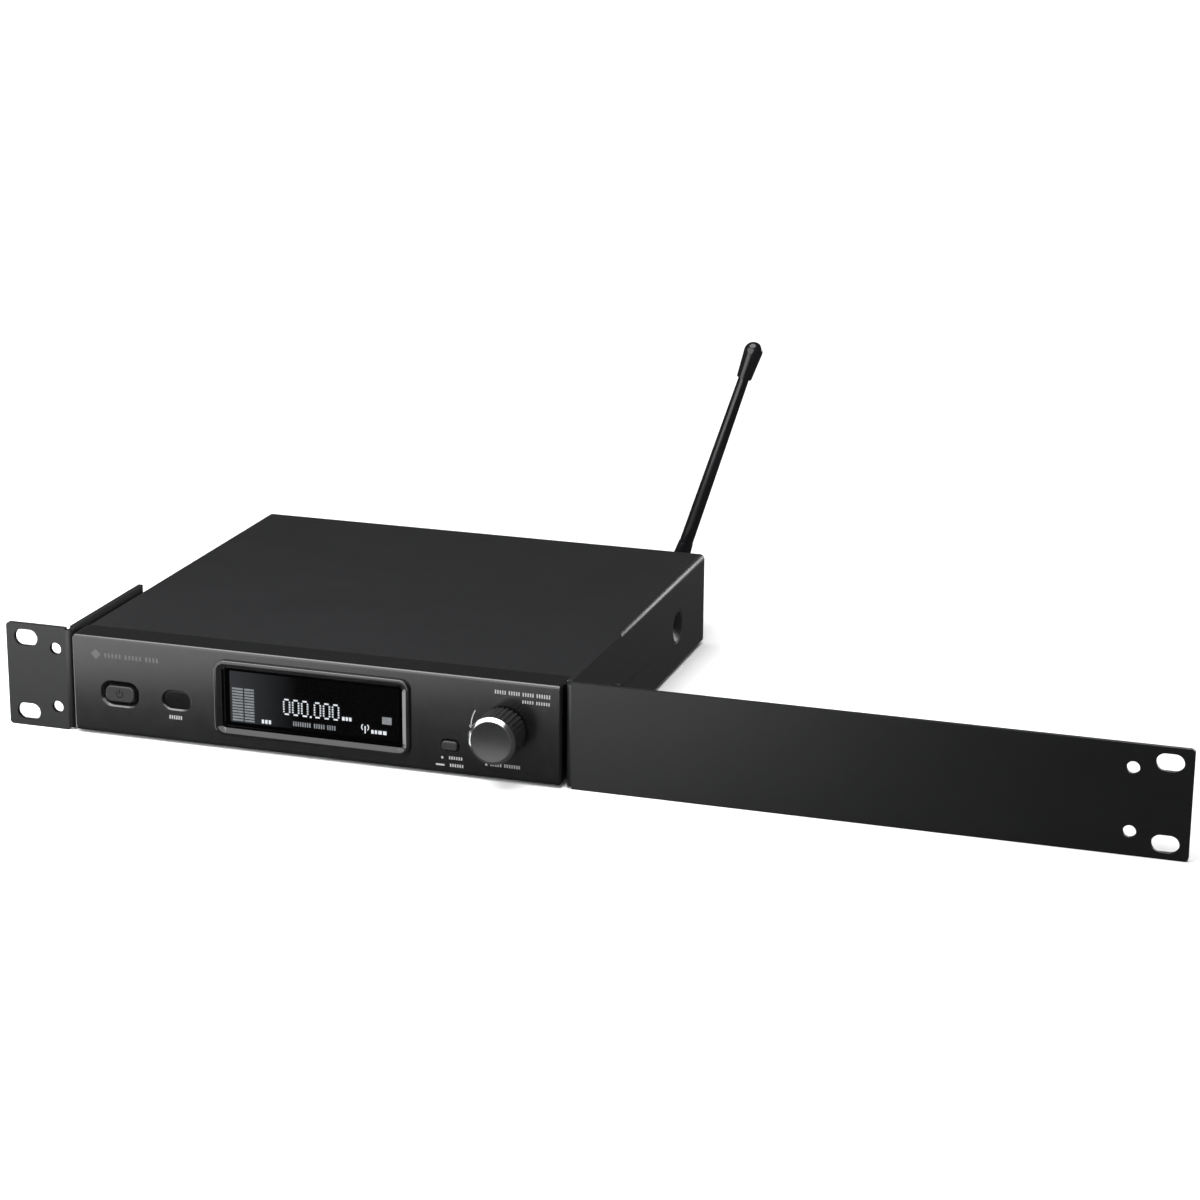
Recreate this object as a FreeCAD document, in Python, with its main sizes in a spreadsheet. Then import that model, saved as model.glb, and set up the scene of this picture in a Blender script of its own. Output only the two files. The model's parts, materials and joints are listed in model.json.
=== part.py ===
"""Half-rack wireless stereo transmitter with its pair of rack ears, one solid for each piece.

Frame: +X to the right seen from the front, +Y towards the rear, +Z up, in millimetres.
The origin is the centre of the rack's bolt pattern, on the front face of the ears.
"""
import FreeCAD, Part
import math
import os
import types

import Sketcher

doc = FreeCAD.newDocument("rack_transmitter")
Vector = FreeCAD.Vector


# ---------------------------------------------------------------- driving dimensions

DRIVING = {
    # the rack: a 482.6 mm panel, one unit high, on slots 465.1 by 31.75 mm apart
    "rack_width": 482.6,
    "slot_span_x": 465.1,
    "slot_span_z": 31.75,
    "slot_length": 10.5,
    "slot_width": 7.0,
    "hole_span_x": 438.4,
    "hole_span_z": 25.0,
    "hole_width": 5.0,
    "ear_height": 43.7,
    "ear_plate": 2.0,
    "ear_flange": 67.0,
    "short_ear": 29.3,
    # the case
    "case_width": 211.6,
    "case_right": -0.2,
    "case_top": 19.6,
    "case_bottom": -20.5,
    "case_rear": 200.0,
    "sheet": 1.0,
    "fit_gap": 0.1,
    "bend_radius": 2.2,
    "side_hole_y": 157.5,
    "side_hole_z": -1.7,
    "side_hole_radius": 7.4,
    # the moulded front
    "front_face": -1.5,
    "front_width": 210.0,
    "front_top": 20.3,
    "front_bottom": -20.7,
    "front_wall": 2.5,
    "skirt_rear": 12.0,
    "skirt_wall": 2.0,
    "board_face": 7.5,
    "board_thickness": 1.6,
    # what is set into the front
    "power_x": -190.0,
    "sync_x": -164.8,
    "small_row_z": -3.4,
    "display_x": -105.7,
    "display_z": 0.5,
    "bezel_width": 84.0,
    "bezel_height": 31.6,
    "bezel_proud": 1.7,
    "bezel_slope_width": 1.9,
    "bezel_slope_depth": 1.2,
    "glass_recess": 0.3,
    "glass_width": 77.4,
    "glass_height": 25.2,
    "back_x": -47.0,
    "back_z": -8.9,
    "knob_x": -24.7,
    "knob_z": 0.0,
    "knob_radius": 9.7,
    "knob_face": -17.0,
    "knob_rear": -2.6,
    "knob_bevel": 1.3,
    "knob_hollow_radius": 60.0,
    "knob_hollow_depth": 0.55,
    "shaft_radius": 3.0,
    "power_travel": 0.8,
    "back_travel": 0.6,
    "knob_travel": 0.5,
    "latch_travel": 1.5,
    # the rear
    "rear_face": 199.4,
    "jack_bore": 3.2,
    "antenna_x": -20.7,
    "antenna_z": 0.0,
    "antenna_plane": 220.0,
    "antenna_lean": 18.0,
    "antenna_reach": 119.0,
    # the main board
    "main_board_top": -11.4,
    "screw_head": 2.8,
    "screw_shank": 1.5,
}


class Dim:
    """A length that knows its number and the spreadsheet formula that gives it."""

    def __init__(self, number, formula):
        self.number = float(number)
        self.formula = formula

    def __add__(self, other):
        other = as_dim(other)
        return Dim(self.number + other.number, f"({self.formula} + {other.formula})")

    __radd__ = __add__

    def __neg__(self):
        return Dim(-self.number, f"(-1 * {self.formula})")

    def __sub__(self, other):
        return self + (-as_dim(other))

    def __rsub__(self, other):
        return as_dim(other) + (-self)

    def __mul__(self, factor):
        factor = as_dim(factor)
        return Dim(self.number * factor.number, f"({self.formula} * {factor.formula})")

    __rmul__ = __mul__

    def __truediv__(self, factor):
        return self * (1.0 / factor)


def as_dim(value):
    return value if isinstance(value, Dim) else Dim(value, f"({float(value)})")


def fill_sheet():
    """Write the driving dimensions into a spreadsheet and return them as Dims by name."""
    sheet = doc.addObject("Spreadsheet::Sheet", "Sizes")
    named = {}
    for row, (alias, number) in enumerate(DRIVING.items(), start=1):
        sheet.set(f"A{row}", alias)
        sheet.set(f"B{row}", str(number))
        sheet.setAlias(f"B{row}", alias)
        named[alias] = Dim(number, f"Sizes.{alias}")
    doc.recompute()
    return types.SimpleNamespace(**named)


S = fill_sheet()
PARTS = {}


def bind(item, prop, value):
    item.setExpression(prop, as_dim(value).formula)


def keep(item, node):
    """Name a finished object as one of the nodes that are written out."""
    item.Label = node
    PARTS[node] = item
    return item


# ---------------------------------------------------------------- primitives and booleans

TURN = {
    "x": FreeCAD.Rotation(Vector(0, 1, 0), 90),
    "y": FreeCAD.Rotation(Vector(1, 0, 0), -90),
    "z": FreeCAD.Rotation(),
}


def box(name, x, y, z):
    """A box between the low and high coordinates given for each axis."""
    item = doc.addObject("Part::Box", name)
    for prop, axis, (low, high) in (("Length", "x", x), ("Width", "y", y), ("Height", "z", z)):
        bind(item, prop, as_dim(high) - low)
        bind(item, f"Placement.Base.{axis}", low)
    return item


def rod(name, axis, centre, span, radius, end_radius=None):
    """A cylinder, or a cone with end_radius, along an axis; centre gives the other two places."""
    kind = "Part::Cylinder" if end_radius is None else "Part::Cone"
    item = doc.addObject(kind, name)
    item.Placement = FreeCAD.Placement(Vector(), TURN[axis])
    low, high = span
    bind(item, "Height", as_dim(high) - low)
    if end_radius is None:
        bind(item, "Radius", radius)
    else:
        bind(item, "Radius1", radius)
        bind(item, "Radius2", end_radius)
    for letter, place in zip("xyz", centre):
        bind(item, f"Placement.Base.{letter}", low if letter == axis else place)
    return item


def hexagon(name, axis, centre, span, across_flats):
    """A hexagonal prism along Y."""
    item = doc.addObject("Part::Prism", name)
    item.Placement = FreeCAD.Placement(Vector(), TURN[axis])
    item.Polygon = 6
    low, high = span
    bind(item, "Height", as_dim(high) - low)
    bind(item, "Circumradius", as_dim(across_flats) / math.sqrt(3))
    for letter, place in zip("xyz", centre):
        bind(item, f"Placement.Base.{letter}", low if letter == axis else place)
    return item


def ball(name, centre, radius):
    item = doc.addObject("Part::Sphere", name)
    bind(item, "Radius", radius)
    for letter, place in zip("xyz", centre):
        bind(item, f"Placement.Base.{letter}", place)
    return item


def fuse(name, *items):
    item = doc.addObject("Part::MultiFuse", name)
    item.Shapes = list(items)
    item.Refine = True
    return item


def cut(name, base, *tools):
    item = doc.addObject("Part::Cut", name)
    item.Base = base
    item.Tool = tools[0] if len(tools) == 1 else fuse(name + "_tools", *tools)
    item.Refine = True
    return item


def group(node, items):
    """Identical pieces that share one node as separate solids."""
    item = doc.addObject("Part::Compound", node + "_group")
    item.Links = list(items)
    return keep(item, node)


# ---------------------------------------------------------------- sketches and part design

def body(name):
    return doc.addObject("PartDesign::Body", name)


def origin_feature(owner, role):
    return [feature for feature in owner.Origin.OriginFeatures if feature.Role == role][0]


def sketch(owner, name, x, y, z):
    """A sketch facing the front, whose own origin lies at x, y, z of the body."""
    drawing = owner.newObject("Sketcher::SketchObject", name)
    drawing.AttachmentSupport = (origin_feature(owner, "XZ_Plane"), [""])
    drawing.MapMode = "FlatFace"
    bind(drawing, "AttachmentOffset.Base.x", x)
    bind(drawing, "AttachmentOffset.Base.y", z)
    bind(drawing, "AttachmentOffset.Base.z", -as_dim(y))
    return drawing


def measure(drawing, kind, value, *where):
    """A dimension of the sketch, bound to its formula."""
    index = drawing.addConstraint(Sketcher.Constraint(kind, *where, as_dim(value).number))
    bind(drawing, f"Constraints[{index}]", value)


def draw_circle(drawing, radius, x=0.0, z=0.0):
    start = Vector(as_dim(x).number, as_dim(z).number, 0)
    index = drawing.addGeometry(Part.Circle(start, Vector(0, 0, 1), as_dim(radius).number), False)
    if start.Length == 0:
        drawing.addConstraint(Sketcher.Constraint("Coincident", index, 3, -1, 1))
    else:
        measure(drawing, "DistanceX", x, -1, 1, index, 3)
        measure(drawing, "DistanceY", z, -1, 1, index, 3)
    measure(drawing, "Radius", radius, index)


def draw_rectangle(drawing, width, height):
    """A rectangle centred on the sketch's origin."""
    a = as_dim(width).number / 2
    b = as_dim(height).number / 2
    corners = [Vector(-a, -b, 0), Vector(a, -b, 0), Vector(a, b, 0), Vector(-a, b, 0)]
    for side in range(4):
        drawing.addGeometry(Part.LineSegment(corners[side], corners[(side + 1) % 4]), False)
    for side in range(4):
        drawing.addConstraint(Sketcher.Constraint("Coincident", side, 2, (side + 1) % 4, 1))
    for side in (0, 2):
        drawing.addConstraint(Sketcher.Constraint("Horizontal", side))
        drawing.addConstraint(Sketcher.Constraint("Vertical", side + 1))
    drawing.addConstraint(Sketcher.Constraint("Symmetric", 0, 1, 2, 1, -1, 1))
    measure(drawing, "DistanceX", width, 0, 1, 0, 2)
    measure(drawing, "DistanceY", height, 1, 1, 1, 2)


def draw_rounded(drawing, width, height, corner):
    """A rectangle with round corners, centred on the sketch's origin."""
    a = as_dim(width).number / 2
    b = as_dim(height).number / 2
    r = as_dim(corner).number
    lower = [(-a + r, -b), (a - r, -b), (a, -b + r), (a, b - r)]
    upper = [(a - r, b), (-a + r, b), (-a, b - r), (-a, -b + r)]
    ends = lower + upper
    points = [Vector(x, z, 0) for x, z in ends]
    for side in range(4):
        drawing.addGeometry(Part.LineSegment(points[2 * side], points[2 * side + 1]), False)
    middles = [(a - r, -b + r), (a - r, b - r), (-a + r, b - r), (-a + r, -b + r)]
    for turn, (x, z) in enumerate(middles):
        circle = Part.Circle(Vector(x, z, 0), Vector(0, 0, 1), r)
        start = math.radians(90 * turn - 90)
        drawing.addGeometry(Part.ArcOfCircle(circle, start, start + math.pi / 2), False)
    for side in range(4):
        arc = 4 + side
        drawing.addConstraint(Sketcher.Constraint("Tangent", side, 2, arc, 1))
        drawing.addConstraint(Sketcher.Constraint("Tangent", arc, 2, (side + 1) % 4, 1))
    for side in (0, 2):
        drawing.addConstraint(Sketcher.Constraint("Horizontal", side))
        drawing.addConstraint(Sketcher.Constraint("Vertical", side + 1))
    for arc in (5, 6, 7):
        drawing.addConstraint(Sketcher.Constraint("Equal", 4, arc))
    drawing.addConstraint(Sketcher.Constraint("Symmetric", 4, 3, 6, 3, -1, 1))
    measure(drawing, "Radius", corner, 4)
    measure(drawing, "DistanceX", width, 3, 1, 1, 1)
    measure(drawing, "DistanceY", height, 0, 1, 2, 1)


def draw_stadium(drawing, length, height):
    """A slot outline lying along X, centred on the sketch's origin."""
    r = as_dim(height).number / 2
    a = as_dim(length).number / 2 - r
    drawing.addGeometry(Part.LineSegment(Vector(-a, -r, 0), Vector(a, -r, 0)), False)
    right = Part.Circle(Vector(a, 0, 0), Vector(0, 0, 1), r)
    drawing.addGeometry(Part.ArcOfCircle(right, -math.pi / 2, math.pi / 2), False)
    drawing.addGeometry(Part.LineSegment(Vector(a, r, 0), Vector(-a, r, 0)), False)
    left = Part.Circle(Vector(-a, 0, 0), Vector(0, 0, 1), r)
    drawing.addGeometry(Part.ArcOfCircle(left, math.pi / 2, 3 * math.pi / 2), False)
    for side in range(4):
        drawing.addConstraint(Sketcher.Constraint("Tangent", side, 2, (side + 1) % 4, 1))
    drawing.addConstraint(Sketcher.Constraint("Equal", 1, 3))
    drawing.addConstraint(Sketcher.Constraint("Horizontal", 0))
    drawing.addConstraint(Sketcher.Constraint("Symmetric", 1, 3, 3, 3, -1, 1))
    measure(drawing, "Radius", as_dim(height) / 2, 1)
    measure(drawing, "DistanceX", as_dim(length) - height, 0, 1, 0, 2)


def pad(owner, drawing, depth):
    """Grow the sketch rearwards from its own plane."""
    before = owner.Shape.Volume if owner.Tip else 0.0
    feature = owner.newObject("PartDesign::Pad", drawing.Name + "_pad")
    feature.Profile = drawing
    feature.Reversed = True
    bind(feature, "Length", depth)
    doc.recompute()
    if owner.Shape.Volume <= before:
        raise RuntimeError(f"{feature.Name} adds nothing")
    return feature


def pocket(owner, drawing, depth):
    """Cut the sketch rearwards from its own plane."""
    before = owner.Shape.Volume
    feature = owner.newObject("PartDesign::Pocket", drawing.Name + "_pocket")
    feature.Profile = drawing
    bind(feature, "Length", depth)
    doc.recompute()
    if owner.Shape.Volume >= before:
        raise RuntimeError(f"{feature.Name} cuts nothing")
    return feature


def edges_where(feature, test):
    """Names of the edges whose box passes the test."""
    edges = enumerate(feature.Shape.Edges, start=1)
    return [f"Edge{index}" for index, edge in edges if test(edge.BoundBox)]


def round_edges(owner, feature, radius, test):
    rounded = owner.newObject("PartDesign::Fillet", feature.Name + "_round")
    rounded.Base = (feature, edges_where(feature, test))
    bind(rounded, "Radius", radius)
    doc.recompute()
    return rounded


def bevel_edges(owner, feature, size, test, other_size=None):
    """Bevel edges evenly, or by two different distances."""
    bevelled = owner.newObject("PartDesign::Chamfer", feature.Name + "_bevel")
    bevelled.Base = (feature, edges_where(feature, test))
    bind(bevelled, "Size", size)
    if other_size is not None:
        bevelled.ChamferType = "Two distances"
        bind(bevelled, "Size2", other_size)
    doc.recompute()
    return bevelled


def near(a, b):
    return abs(a - as_dim(b).number) < 0.01


def at_depth(y):
    """A test for edges that lie flat at one depth."""
    return lambda bounds: near(bounds.YMin, y) and near(bounds.YMax, y)


def within(x, z, width, height, y):
    """A test for edges at one depth that lie inside a rectangle centred at x, z."""
    flat = at_depth(y)
    left = as_dim(x).number - as_dim(width).number / 2 - 0.05
    right = as_dim(x).number + as_dim(width).number / 2 + 0.05
    low = as_dim(z).number - as_dim(height).number / 2 - 0.05
    high = as_dim(z).number + as_dim(height).number / 2 + 0.05
    return lambda b: flat(b) and left < b.XMin and b.XMax < right and low < b.ZMin and b.ZMax < high


# ---------------------------------------------------------------- fasteners

def pan_screw(name, axis, seat, out, centre, shank_length, head=None, shank=None):
    """A cross-head pan screw. Its head sits on `seat` and points along the axis by `out`."""
    head = S.screw_head if head is None else head
    shank = S.screw_shank if shank is None else shank
    head_height = head * 0.7
    recess_depth = head_height * 0.6

    def span(start, end):
        return (start, end) if as_dim(start).number < as_dim(end).number else (end, start)

    top = seat + head_height * out
    body_span = span(seat - as_dim(shank_length) * out, seat + head_height * 0.5 * out)
    head_solid = rod(name + "_head", axis, centre, span(seat, top), head)
    shank_solid = rod(name + "_shank", axis, centre, body_span, shank)
    blades = []
    letters = [letter for letter in "xyz" if letter != axis]
    for wide in letters:
        sides = {}
        for letter, place in zip("xyz", centre):
            half = head * (0.55 if letter == wide else 0.14)
            sides[letter] = (as_dim(place) - half, as_dim(place) + half)
        sides[axis] = span(top - recess_depth * out, top + 1.0 * out)
        blades.append(box(f"{name}_slot_{wide}", sides["x"], sides["y"], sides["z"]))
    return cut(name, fuse(name + "_blank", head_solid, shank_solid), *blades)


# ---------------------------------------------------------------- case: tray, cover, panels

CASE_LEFT = S.case_right - S.case_width
CASE_MIDDLE = S.case_right - S.case_width / 2
SKIN_GAP = S.sheet + S.fit_gap
TRAY_LEFT = CASE_LEFT + SKIN_GAP
TRAY_RIGHT = S.case_right - SKIN_GAP
TRAY_FRONT = S.skirt_rear + 0.4
TRAY_TOP = S.case_top - 2.0
FLOOR_TOP = S.case_bottom + S.sheet
PANEL_FRONT = S.rear_face - S.sheet
EAR_SCREWS_Y = (20.0, 57.0)
EAR_SCREW_RADIUS = 2.0
EAR_SCREW_HOLE = 2.2
EAR_BEND = 2.4
TRAY_PLUG_HOLE = 5.4
COVER_SCREWS_X = (-196.0, -118.0, -38.0)
COVER_SCREW_Z = 15.2
SCREW_FIT = S.screw_shank
SIDES = {"left": -1, "right": 1}


def side_x(side, distance_in):
    """A place on the case's left or right, measured inwards from its outer face."""
    return CASE_LEFT + distance_in if side == "left" else S.case_right - distance_in


def side_rod(name, side, place, depths, radius, inner_radius=None):
    """A round bar along X through one side, between two depths measured inwards from outside."""
    near_end, far_end = (side_x(side, depth) for depth in depths)
    if side == "left":
        return rod(name, "x", place, (near_end, far_end), radius, inner_radius)
    if inner_radius is None:
        return rod(name, "x", place, (far_end, near_end), radius)
    return rod(name, "x", place, (far_end, near_end), inner_radius, radius)


def side_holes(name, side, radius, places, depth):
    """Cutters along X through one side of the case, from outside to `depth` inside."""
    return [
        side_rod(f"{name}_{side}_{index}", side, (0, y, z), (-1.0, depth), radius)
        for index, (y, z) in enumerate(places)
    ]


def make_cover():
    """The steel top cover: a wide U that wraps down both sides, with a lip for its rear screws."""
    shell = body("cover_shell")
    height = S.case_top - S.case_bottom - 0.3
    middle_z = S.case_top - height / 2
    length = S.case_rear - TRAY_FRONT
    outline = sketch(shell, "cover_outline", CASE_MIDDLE, TRAY_FRONT, middle_z)
    draw_rectangle(outline, S.case_width, height)
    block = pad(shell, outline, length)
    top = S.case_top
    rounded = round_edges(shell, block, S.bend_radius, lambda b: near(b.ZMin, top) and b.YLength > 100)
    inner_height = height - S.sheet
    hollow = sketch(shell, "cover_hollow", CASE_MIDDLE, TRAY_FRONT, middle_z - S.sheet)
    draw_rectangle(hollow, S.case_width - 2 * S.sheet, inner_height + S.sheet)
    opened = pocket(shell, hollow, length)
    inside = S.case_top - S.sheet
    long_inner = lambda b: near(b.ZMin, inside) and b.YLength > 100
    round_edges(shell, opened, S.bend_radius - S.sheet, long_inner)
    lip = box(
        "cover_lip",
        (CASE_LEFT + 8.0, S.case_right - 8.0),
        (PANEL_FRONT - S.sheet - S.fit_gap, PANEL_FRONT - S.fit_gap),
        (S.case_top - 7.5, S.case_top - S.sheet / 2),
    )
    shape = fuse("cover_with_lip", shell, lip)
    holes = []
    for side in SIDES:
        ear_places = [(y, 0.0) for y in EAR_SCREWS_Y]
        holes += side_holes("cover_ear_hole", side, EAR_SCREW_HOLE, ear_places, SKIN_GAP)
        recess = [(S.side_hole_y, S.side_hole_z)]
        holes += side_holes("cover_round_hole", side, S.side_hole_radius, recess, SKIN_GAP)
    for index, x in enumerate(COVER_SCREWS_X):
        lip_span = (PANEL_FRONT - 3.0, PANEL_FRONT)
        holes.append(rod(f"cover_lip_hole_{index}", "y", (x, 0, COVER_SCREW_Z), lip_span, SCREW_FIT))
    keep(cut("cover_cut", shape, *holes), "top_cover")


def make_tray():
    """The steel tray: floor and two side walls inside the cover."""
    depth = (TRAY_FRONT, S.case_rear - 0.1)
    outer = box("tray_block", (TRAY_LEFT, TRAY_RIGHT), depth, (S.case_bottom, TRAY_TOP))
    room = box(
        "tray_room",
        (TRAY_LEFT + S.sheet, TRAY_RIGHT - S.sheet),
        (TRAY_FRONT - 1.0, S.case_rear + 1.0),
        (FLOOR_TOP, TRAY_TOP + 1.0),
    )
    holes = []
    for side in SIDES:
        ear_places = [(y, 0.0) for y in EAR_SCREWS_Y]
        holes += side_holes("tray_ear_hole", side, EAR_SCREW_HOLE, ear_places, 4.0)
        plug_place = [(S.side_hole_y, S.side_hole_z)]
        holes += side_holes("tray_round_hole", side, TRAY_PLUG_HOLE, plug_place, 4.0)
    vents = []
    for row in range(3):
        for column in range(9):
            x = -150.0 + column * 11.0
            y = 96.0 + row * 22.0
            through = (S.case_bottom - 1.0, FLOOR_TOP + 1.0)
            vents.append(box(f"tray_vent_{row}_{column}", (x, x + 3.0), (y, y + 16.0), through))
    keep(cut("tray_cut", outer, room, *holes, *vents), "chassis_tray")


def make_subframe():
    """The steel plate across the front of the tray, which the moulded front is screwed to."""
    plate = box(
        "subframe_plate",
        (TRAY_LEFT + SKIN_GAP, TRAY_RIGHT - SKIN_GAP),
        (TRAY_FRONT + 0.2, TRAY_FRONT + 1.2),
        (FLOOR_TOP + 0.05, TRAY_TOP - 0.3),
    )
    foot = box(
        "subframe_foot",
        (TRAY_LEFT + 12.0, TRAY_RIGHT - 12.0),
        (TRAY_FRONT + 0.2, TRAY_FRONT + 9.0),
        (FLOOR_TOP, FLOOR_TOP + S.sheet),
    )
    window = box("subframe_window", (-128.0, -84.0), (TRAY_FRONT, TRAY_FRONT + 1.4), (-9.0, 3.0))
    shaped = fuse("subframe_bent", plate, foot)
    holes = [
        rod(f"subframe_hole_{index}", "y", (x, 0, z), (TRAY_FRONT, TRAY_FRONT + 1.4), SCREW_FIT)
        for index, (x, z) in enumerate(corner_places())
    ]
    keep(cut("subframe_cut", shaped, window, *holes), "front_subframe")
    screws = [
        pan_screw(f"front_screw_{index}", "y", TRAY_FRONT + 1.2, 1, (x, 0, z), 7.0)
        for index, (x, z) in enumerate(corner_places())
    ]
    group("front_panel_screws", screws)


# ---------------------------------------------------------------- the moulded front

FRONT_MIDDLE_X = CASE_MIDDLE
FRONT_MIDDLE_Z = (S.front_top + S.front_bottom) / 2
WALL_REAR = S.front_face + S.front_wall
POWER_CAP = (12.8, 6.8)
POWER_CORNER = 2.6
POWER_DISH = 1.8
SYNC_HOLE = (12.0, 7.4)
SYNC_DISH = 0.6
SYNC_DEPTH = 1.0
BACK_CAP = (6.6, 3.9)
BACK_CORNER = 1.4
BUTTON_GAP = 0.35
BOSS_RADIUS = 2.6


def corner_places():
    """The four long bosses, near the corners of the front."""
    return [(x, z) for x in (-205.6, -6.4) for z in (-14.0, 14.0)]


def board_places():
    """The six short bosses that carry the front board."""
    return [(x, z) for x in (-197.5, -153.4, -12.8) for z in (-14.0, 14.0)]


def make_front_panel():
    """The moulded front: a rounded plate with a skirt, openings and screw bosses."""
    shell = body("front_shell")
    outline = sketch(shell, "front_outline", FRONT_MIDDLE_X, S.front_face, FRONT_MIDDLE_Z)
    height = S.front_top - S.front_bottom
    draw_rounded(outline, S.front_width, height, 1.6)
    block = pad(shell, outline, S.skirt_rear - S.front_face)
    soft = round_edges(shell, block, 1.15, at_depth(S.front_face))
    shell.Tip = soft
    hollow = sketch(shell, "front_hollow", FRONT_MIDDLE_X, WALL_REAR, FRONT_MIDDLE_Z)
    draw_rounded(hollow, S.front_width - 2 * S.skirt_wall, height - 2 * S.skirt_wall, 1.0)
    pocket(shell, hollow, S.skirt_rear - WALL_REAR)

    through = S.front_wall + 1.0
    front_plane = S.front_face - 0.5
    window = sketch(shell, "display_opening", S.display_x, front_plane, S.display_z)
    draw_rounded(window, S.glass_width + 3.4, S.glass_height + 3.4, 2.8)
    pocket(shell, window, through)

    power = sketch(shell, "power_opening", S.power_x, front_plane, S.small_row_z)
    power_hole = [side + 2 * BUTTON_GAP for side in POWER_CAP]
    draw_rounded(power, *power_hole, POWER_CORNER + BUTTON_GAP)
    opened = pocket(shell, power, through)
    bevel_edges(shell, opened, POWER_DISH, within(S.power_x, S.small_row_z, *power_hole, S.front_face))

    sync = sketch(shell, "sync_opening", S.sync_x, front_plane, S.small_row_z)
    draw_stadium(sync, *SYNC_HOLE)
    opened = pocket(shell, sync, through)
    bevel_edges(shell, opened, SYNC_DISH, within(S.sync_x, S.small_row_z, *SYNC_HOLE, S.front_face))

    back = sketch(shell, "back_opening", S.back_x, front_plane, S.back_z)
    back_hole = [side + 2 * BUTTON_GAP for side in BACK_CAP]
    draw_rounded(back, *back_hole, BACK_CORNER + BUTTON_GAP)
    opened = pocket(shell, back, through)
    bevel_edges(shell, opened, 0.25, within(S.back_x, S.back_z, *back_hole, S.front_face))

    bushing = sketch(shell, "bushing_opening", S.knob_x, front_plane, S.knob_z)
    draw_circle(bushing, 3.6)
    pocket(shell, bushing, through)

    bosses = []
    holes = []
    root = WALL_REAR - 0.5
    for index, (x, z) in enumerate(corner_places()):
        drilled = (TRAY_FRONT - 6.6, TRAY_FRONT + 1.0)
        bosses.append(rod(f"long_boss_{index}", "y", (x, 0, z), (root, TRAY_FRONT + 0.2), BOSS_RADIUS))
        holes.append(rod(f"long_boss_hole_{index}", "y", (x, 0, z), drilled, SCREW_FIT))
    for index, (x, z) in enumerate(board_places()):
        drilled = (WALL_REAR + 1.2, S.board_face + 1.0)
        bosses.append(rod(f"short_boss_{index}", "y", (x, 0, z), (root, S.board_face), BOSS_RADIUS))
        holes.append(rod(f"short_boss_hole_{index}", "y", (x, 0, z), drilled, SCREW_FIT))
    keep(cut("front_cut", fuse("front_with_bosses", shell, *bosses), *holes), "front_panel")


def make_display():
    """The raised display surround, its window, gasket and display module."""
    front = S.front_face - S.bezel_proud
    ring = body("bezel_ring")
    outline = sketch(ring, "bezel_outline", S.display_x, front, S.display_z)
    draw_rounded(outline, S.bezel_width, S.bezel_height, 4.4)
    flange = pad(ring, outline, S.bezel_proud)
    ring.Tip = round_edges(ring, flange, 0.7, at_depth(front))
    spigot = sketch(ring, "bezel_spigot", S.display_x, S.front_face - 0.2, S.display_z)
    draw_rounded(spigot, S.glass_width + 3.0, S.glass_height + 3.0, 2.6)
    pad(ring, spigot, S.front_wall + 0.2)
    window = sketch(ring, "bezel_window", S.display_x, front - 1.0, S.display_z)
    hole = (S.glass_width + 0.2, S.glass_height + 0.2)
    draw_rounded(window, *hole, 1.6)
    opened = pocket(ring, window, S.bezel_proud + S.front_wall + 2.0)
    window_edge = within(S.display_x, S.display_z, *hole, front)
    bevel_edges(ring, opened, S.bezel_slope_width, window_edge, S.bezel_slope_depth)
    keep(ring, "display_bezel")

    glass = body("window_pane")
    glass_front = front + S.bezel_slope_depth + S.glass_recess
    gasket_front = S.front_face + 2.0
    pane = sketch(glass, "window_outline", S.display_x, glass_front, S.display_z)
    draw_rounded(pane, S.glass_width, S.glass_height, 1.5)
    pad(glass, pane, gasket_front - glass_front)
    keep(glass, "display_window")

    gasket = body("gasket_frame")
    rim = sketch(gasket, "gasket_outline", S.display_x, gasket_front, S.display_z)
    draw_rounded(rim, S.glass_width - 0.4, S.glass_height - 0.4, 1.3)
    pad(gasket, rim, 0.7)
    eye = sketch(gasket, "gasket_window", S.display_x, gasket_front - 0.5, S.display_z)
    draw_rounded(eye, S.glass_width - 4.4, S.glass_height - 3.4, 0.8)
    pocket(gasket, eye, 2.0)
    keep(gasket, "display_gasket")

    cell_front = gasket_front + 0.7
    half_width = S.glass_width / 2 - 0.6
    half_height = S.glass_height / 2 - 0.3
    cell = box(
        "display_cell",
        (S.display_x - half_width, S.display_x + half_width),
        (cell_front, cell_front + 1.8),
        (S.display_z - half_height, S.display_z + half_height),
    )
    carrier = box(
        "display_carrier",
        (S.display_x - half_width - 3.0, S.display_x + half_width + 3.0),
        (cell_front + 1.8, S.board_face - 1.0),
        (S.display_z - half_height - 2.0, S.display_z + half_height + 2.0),
    )
    keep(fuse("display_fused", cell, carrier), "display_module")
    spacers = [
        box(
            f"display_spacer_{index}",
            (S.display_x + x - 2.0, S.display_x + x + 2.0),
            (S.board_face - 1.0, S.board_face),
            (S.display_z - 12.0, S.display_z + 12.0),
        )
        for index, x in enumerate((-36.0, 36.0))
    ]
    group("display_spacers", spacers)


def make_button(name, x, z, cap, corner, proud, plunger_front):
    """A push button: its cap, a retaining flange behind the wall and the switch's plunger."""
    front = S.front_face - proud
    flange_front = WALL_REAR + 0.3
    rear = 3.4
    shape = body(name + "_shape")
    outline = sketch(shape, name + "_outline", x, front, z)
    draw_rounded(outline, cap[0], cap[1], corner)
    block = pad(shape, outline, rear - front)
    shape.Tip = round_edges(shape, block, 0.55, at_depth(front))
    flange = sketch(shape, name + "_flange", x, flange_front, z)
    draw_rounded(flange, cap[0] + 2.8, cap[1] + 2.8, 1.2)
    pad(shape, flange, 1.0)
    keep(shape, name)
    keep(rod(name + "_pin", "y", (x, 0, z), (rear, plunger_front + 0.8), 1.7), name + "_plunger")


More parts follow.
